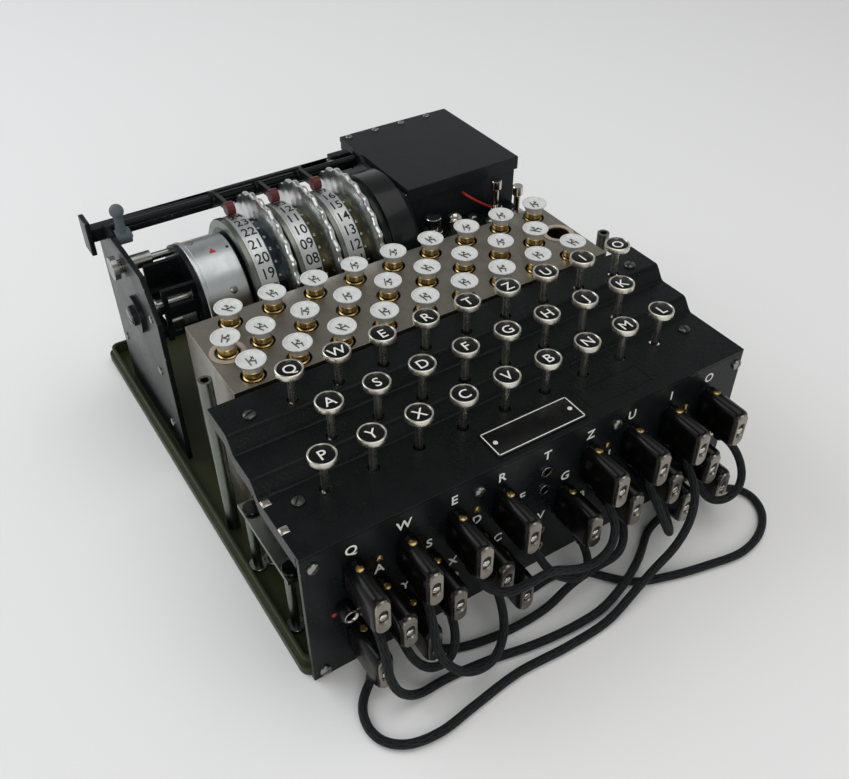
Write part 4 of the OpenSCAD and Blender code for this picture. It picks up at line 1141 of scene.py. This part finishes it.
class MakeRotors(MachineStep):
    """Three rotors with number rings, the drum, the entry disc and the through-shaft"""
    bl_idname = "machine.make_rotors"
    bl_label = "Rotors"

    def make(self, sizes, colours):
        for n, x in enumerate(RING_X):
            self.core(n, x)
            self.ring(n, x, sizes.ring_digit)
        self.drum()
        dressed("entry_disc", ["rotor_bakelite"], width=0.4)
        dressed("rotor_rods", ["plated_steel", "black_paint"], width=0.2, paint=self.detent_rod)

    def core(self, n, x):
        """Barrel, wavy thumbwheel, hub and spring contacts"""
        body = f"rotor_{n + 1}"
        centre = (x, AXIS_Y, AXIS_Z)
        bm = bmesh.new()
        left, right = CORE_X
        lathe(bm, [(5.1, left), (CORE_R, left), (CORE_R, right), (5.1, right), (5.1, left)], centre, TO_RIGHT, 78)
        finished(body + "_barrel", bm, CORE_FINISHES[n], body, [body + "_core"])
        bm = bmesh.new()
        outer = right + WHEEL_T
        verts = lathe(bm, [(14, right), (47.5, right), (48.3, right + 0.35), (WHEEL_R, right + 1.0),
                           (WHEEL_R, outer - 1.0), (48.3, outer - 0.35), (47.5, outer), (41, outer),
                           (40.6, outer - 0.5), (14, outer - 0.5), (14, right)], centre, TO_RIGHT, 208)
        dip_rim(verts, centre, 44, lambda a: WHEEL_DIP * (0.5 - 0.5 * math.cos(POSITIONS * a)))
        finished(body + "_thumbwheel", bm, "wheel_steel", body)
        bm = bmesh.new()
        lathe(bm, [(5.1, outer - 0.6), (HUB_R, outer - 0.6), (HUB_R, HUB_END - 0.4), (HUB_R - 0.4, HUB_END),
                   (5.1, HUB_END), (5.1, outer - 0.6)], centre, TO_RIGHT, 52)
        finished(body + "_hub", bm, "rotor_bakelite", body)
        pins, rivets = bmesh.new(), bmesh.new()
        for i in range(POSITIONS):
            a = math.tau * i / POSITIONS
            lathe(pins, [(0, HUB_END - 0.2), (0.9, HUB_END - 0.2), (0.9, HUB_END + 0.9), (0.5, HUB_END + 1.3),
                         (0, HUB_END + 1.3)],
                  (x, AXIS_Y + CONTACT_R * math.sin(a), AXIS_Z + CONTACT_R * math.cos(a)), TO_RIGHT, 10)
            a += math.pi / POSITIONS
            lathe(rivets, [(0, -0.2), (1.1, -0.2), (1.1, 0), (1.0, 0.5), (0.6, 0.8), (0, 0.9)],
                  (x + 8.6, AXIS_Y + CORE_R * math.sin(a), AXIS_Z + CORE_R * math.cos(a)),
                  Matrix.Rotation(-a, 4, "X"), steps=10)
        finished(body + "_contacts", pins, "brass", body)
        finished(body + "_rivets", rivets, "plated_steel", body)

    def ring(self, n, x, height):
        """Number ring: a darker shoulder, a bright band, and 26 numbers round it"""
        body = f"ring_{n + 1}"
        r = RING_R
        bm = bmesh.new()
        lathe(bm, [(33.1, -8.6), (r - 0.2, -8.6), (r + 0.4, -8.2), (r + 0.4, -5.6), (r, -5.2), (33.1, -5.2),
                   (33.1, -8.6)], (x, AXIS_Y, AXIS_Z), TO_RIGHT, steps=104)
        finished(f"rotor_{n + 1}_ring_shoulder", bm, "post_steel", body)
        bm = bmesh.new()
        lathe(bm, [(33.1, -5.15), (r, -5.15), (r, -4.3), (r - 0.3, -4.2), (r - 0.3, -3.9), (r, -3.8), (r, 4.9),
                   (r - 0.4, 5.4), (33.1, 5.4), (33.1, -5.15)], (x, AXIS_Y, AXIS_Z), TO_RIGHT, steps=104)
        finished(f"rotor_{n + 1}_ring_band", bm, "ring_metal", body, [f"rotor_{n + 1}_ring"])
        words = bmesh.new()
        for i in range(POSITIONS):
            number = (TOP_NUMBERS[n] - 1 - i) % POSITIONS + 1
            one = flat_text(f"{number:02d}", height, 0.1, 0.1)
            for k in range(-4, 5):
                bmesh.ops.bisect_plane(one, geom=one.verts[:] + one.edges[:] + one.faces[:],
                                       plane_co=(0, mm(k * 0.8), 0), plane_no=(0, 1, 0))
            angle = math.radians(NUMBER_LEAN[n]) + math.tau * i / POSITIONS
            for v in one.verts:
                a = angle - v.co.y / mm(r)
                far = mm(r) + v.co.z
                v.co = Vector((mm(x + 0.6) + v.co.x * 0.95, mm(AXIS_Y) - far * math.sin(a),
                               mm(AXIS_Z) + far * math.cos(a)))
            pour(words, one)
        finished(f"rotor_{n + 1}_ring_numbers", words, "digit_paint", body)

    def detent_rod(self, middle):
        """The painted rod that carries the detent arms, among the bare guide rods"""
        return int(middle.y > DETENT_ROD_FROM[0] and middle.z > DETENT_ROD_FROM[1])

    def drum(self):
        low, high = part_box("reflector_drum")
        left, right = low.x / MM, high.x / MM
        r = DRUM_R
        length = right - left
        bm = bmesh.new()
        lathe(bm, [(5.1, 0), (r + 0.4, 0), (r + 0.8, 0.4), (r + 0.8, 1.7), (r + 0.4, 2.0), (r - 0.15, 2.1),
                   (r - 0.15, 2.7), (r, 2.9), (r, length - 1.0), (r - 0.8, length - 0.1), (5.1, length), (5.1, 0)],
              (left, AXIS_Y, AXIS_Z), TO_RIGHT, steps=104)
        finished("drum_shell", bm, "drum_metal", "reflector", ["reflector_drum"])
        mark = bmesh.new()
        bmesh.ops.create_circle(mark, cap_ends=True, segments=3, radius=mm(2.4))
        grown = bmesh.ops.extrude_face_region(mark, geom=mark.faces[:])["geom"]
        bmesh.ops.translate(mark, vec=mm(0, 0, 0.12),
                            verts=[g for g in grown if isinstance(g, bmesh.types.BMVert)])
        bmesh.ops.recalc_face_normals(mark, faces=mark.faces)
        placed(mark, mark.verts[:], *self.on_drum(-79, DRUM_MARK_TURN))
        finished("drum_index", mark, "red_paint", "reflector")
        heads = [(-76.6, 62, 2.2, 0.8), (-87, -10.5, 2.0, 0.9), (-87, 118, 2.2, 0.8), (-76.6, 182, 2.2, 0.8)]
        places = []
        for x, degrees, radius, tall in heads:
            at, turn = self.on_drum(x, degrees)
            places.append((*at, turn, radius, tall))
        screws("drum_screws", places, "plated_steel", "reflector")
        dot = bmesh.new()
        lathe(dot, [(0, 0.12), (0.9, 0.12), (0.9, -0.2), (0, -0.2)], *self.on_drum(-70, DRUM_MARK_TURN), steps=14)
        finished("drum_dot", dot, "digit_paint", "reflector")

    def on_drum(self, x, degrees):
        """Place and turn of a thing on the drum's shell, degrees from its top towards the front"""
        a = math.radians(degrees)
        return (x, AXIS_Y - DRUM_R * math.sin(a), AXIS_Z + DRUM_R * math.cos(a)), Matrix.Rotation(a, 4, "X")


class MakeFrame(MachineStep):
    """Side plates, bracket, bar, lever, detents and pawls"""
    bl_idname = "machine.make_frame"
    bl_label = "Rotor frame"

    def make(self, sizes, colours):
        dressed("left_frame_plate", ["black_paint"], width=0.4)
        dressed("right_frame_plate", ["black_paint"], width=0.4)
        dressed("reflector_bracket", ["black_paint"], "reflector", 0.3)
        dressed("top_bar", ["black_paint"], width=0.6)
        dressed("release_lever", ["grey_paint"], "lever", 0.3)
        dressed("detent_arms", ["black_paint", "red_fibre"], "detents", 0.25, self.roller)
        dressed("pawl_bar", ["plated_steel"], "pawls", 0.2)
        end = Matrix.Rotation(-math.pi / 2, 4, "Y")
        screws("frame_screws", [
            (LEFT_PLATE_X, 40, 60, end, 2.6, 1.2), (LEFT_PLATE_X, 110, 40, end, 2.6, 1.2),
            (LEFT_PLATE_X, 40, 20, end, 2.6, 1.2), (LEFT_PLATE_X, 34, 100, end, 2.2, 1.0),
            (24, 104, 122.5, None, 2.6, 1.4),
            (-129.5, AXIS_Y, AXIS_Z, end, 4.6, 1.4)])
        knurl = bmesh.new()
        verts = lathe(knurl, [(0, 0), (6.0, 0), (6.8, 0.5), (6.8, 3.0), (6.4, 3.5), (0, 3.5)], KNURL_AT,
                      TO_RIGHT, 72)
        dip_rim(verts, KNURL_AT, 6.3, lambda a: 0.35 * (round(36 * a / math.pi) % 2))
        finished("knurled_knob", knurl, "plated_steel", CHASSIS)

    def roller(self, middle):
        """The fibre rollers at the ends of the detent arms"""
        away = math.hypot(middle.y - ROLLER_AT[0], middle.z - ROLLER_AT[1])
        return int(away < ROLLER_R and middle.y < ROLLER_BACK)


class MakeBattery(MachineStep):
    """Battery box with lid, and the ledge with selector, terminals and red wire"""
    bl_idname = "machine.make_battery"
    bl_label = "Battery box"

    def make(self, sizes, colours):
        dressed("battery_box", ["lid_paint"], width=0.4)
        dressed("battery_lid", ["lid_paint"], "lid", 0.5)
        dressed("battery", ["battery_card"], width=0)
        self.knob()
        self.terminals()
        screws("lid_screws", [(x, 121, LID_TOP_Z, None, 2.2, 1.0) for x in LID_SCREW_X], body="lid")

    def knob(self):
        at = (*KNOB_AT, LEDGE_Z)
        bm = bmesh.new()
        lathe(bm, [(0, 0), (5.7, 0), (6, 0.3), (6, 4.6), (5.7, 5), (3.2, 5.2), (3.2, 8.8), (4.7, 9), (5, 9.3),
                   (5, 13.6), (4.6, 14), (0, 14)], at)
        finished("selector", bm, "bright_nickel", "selector", ["selector_knob"])

    def terminals(self):
        bm = bmesh.new()
        for x, y in TERMINALS:
            lathe(bm, [(0, 0), (4.3, 0), (4.5, 0.3), (4.5, 3.6), (4.1, 4), (2, 4.1), (2, 16), (3.1, 16),
                       (3.4, 16.4), (3.4, 21.5), (3.0, 22), (0, 22)], (x, y, LEDGE_Z), steps=24)
        lathe(bm, [(0, 0), (5.5, 0), (5.5, 3.6), (5.2, 5.2), (4.4, 7.0), (3.1, 8.5), (1.6, 9.3), (0, 9.5)],
              (*DOME_NUT_AT, LEDGE_Z), steps=28)
        finished("terminal_posts", bm, "bright_nickel", CHASSIS, ["terminals"])
        screws("ledge_screws", [(x, y, LEDGE_Z, None, 3.4, 2.4) for x, y in LEDGE_SCREWS])
        tube("red_wire", [Vector(p) for p in RED_WIRE], RED_WIRE_WIDE, "wire_red", sides=10)


STEPS = (MakeFinishes, SetStage, MakeLeads, MakePanel, MakeCover, MakeKeys, MakeLamps, MakeRotors, MakeFrame,
         MakeBattery)


class MachinePanel(bpy.types.Panel):
    """The steps, sizes and colours in the sidebar"""
    bl_idname = "VIEW3D_PT_machine"
    bl_label = "Rotor Cipher Machine"
    bl_space_type = "VIEW_3D"
    bl_region_type = "UI"
    bl_category = "Machine"

    def draw(self, context):
        for step in STEPS:
            self.layout.operator(step.bl_idname)
        for group in (context.scene.machine_sizes, context.scene.machine_colours):
            for name in group.bl_rna.properties.keys():
                if name not in ("rna_type", "name"):
                    self.layout.prop(group, name)


CLASSES = (MachineSizes, MachineColours, *STEPS, MachinePanel)


def register():
    for cls in CLASSES:
        bpy.utils.register_class(cls)
    bpy.types.Scene.machine_sizes = PointerProperty(type=MachineSizes)
    bpy.types.Scene.machine_colours = PointerProperty(type=MachineColours)


def unregister():
    del bpy.types.Scene.machine_colours
    del bpy.types.Scene.machine_sizes
    for cls in reversed(CLASSES):
        bpy.utils.unregister_class(cls)


def main():
    """Makes the stage and every piece, in the steps' order"""
    register()
    for step in STEPS:
        group, action = step.bl_idname.split(".")
        getattr(getattr(bpy.ops, group), action)()


if __name__ == "__main__":
    main()
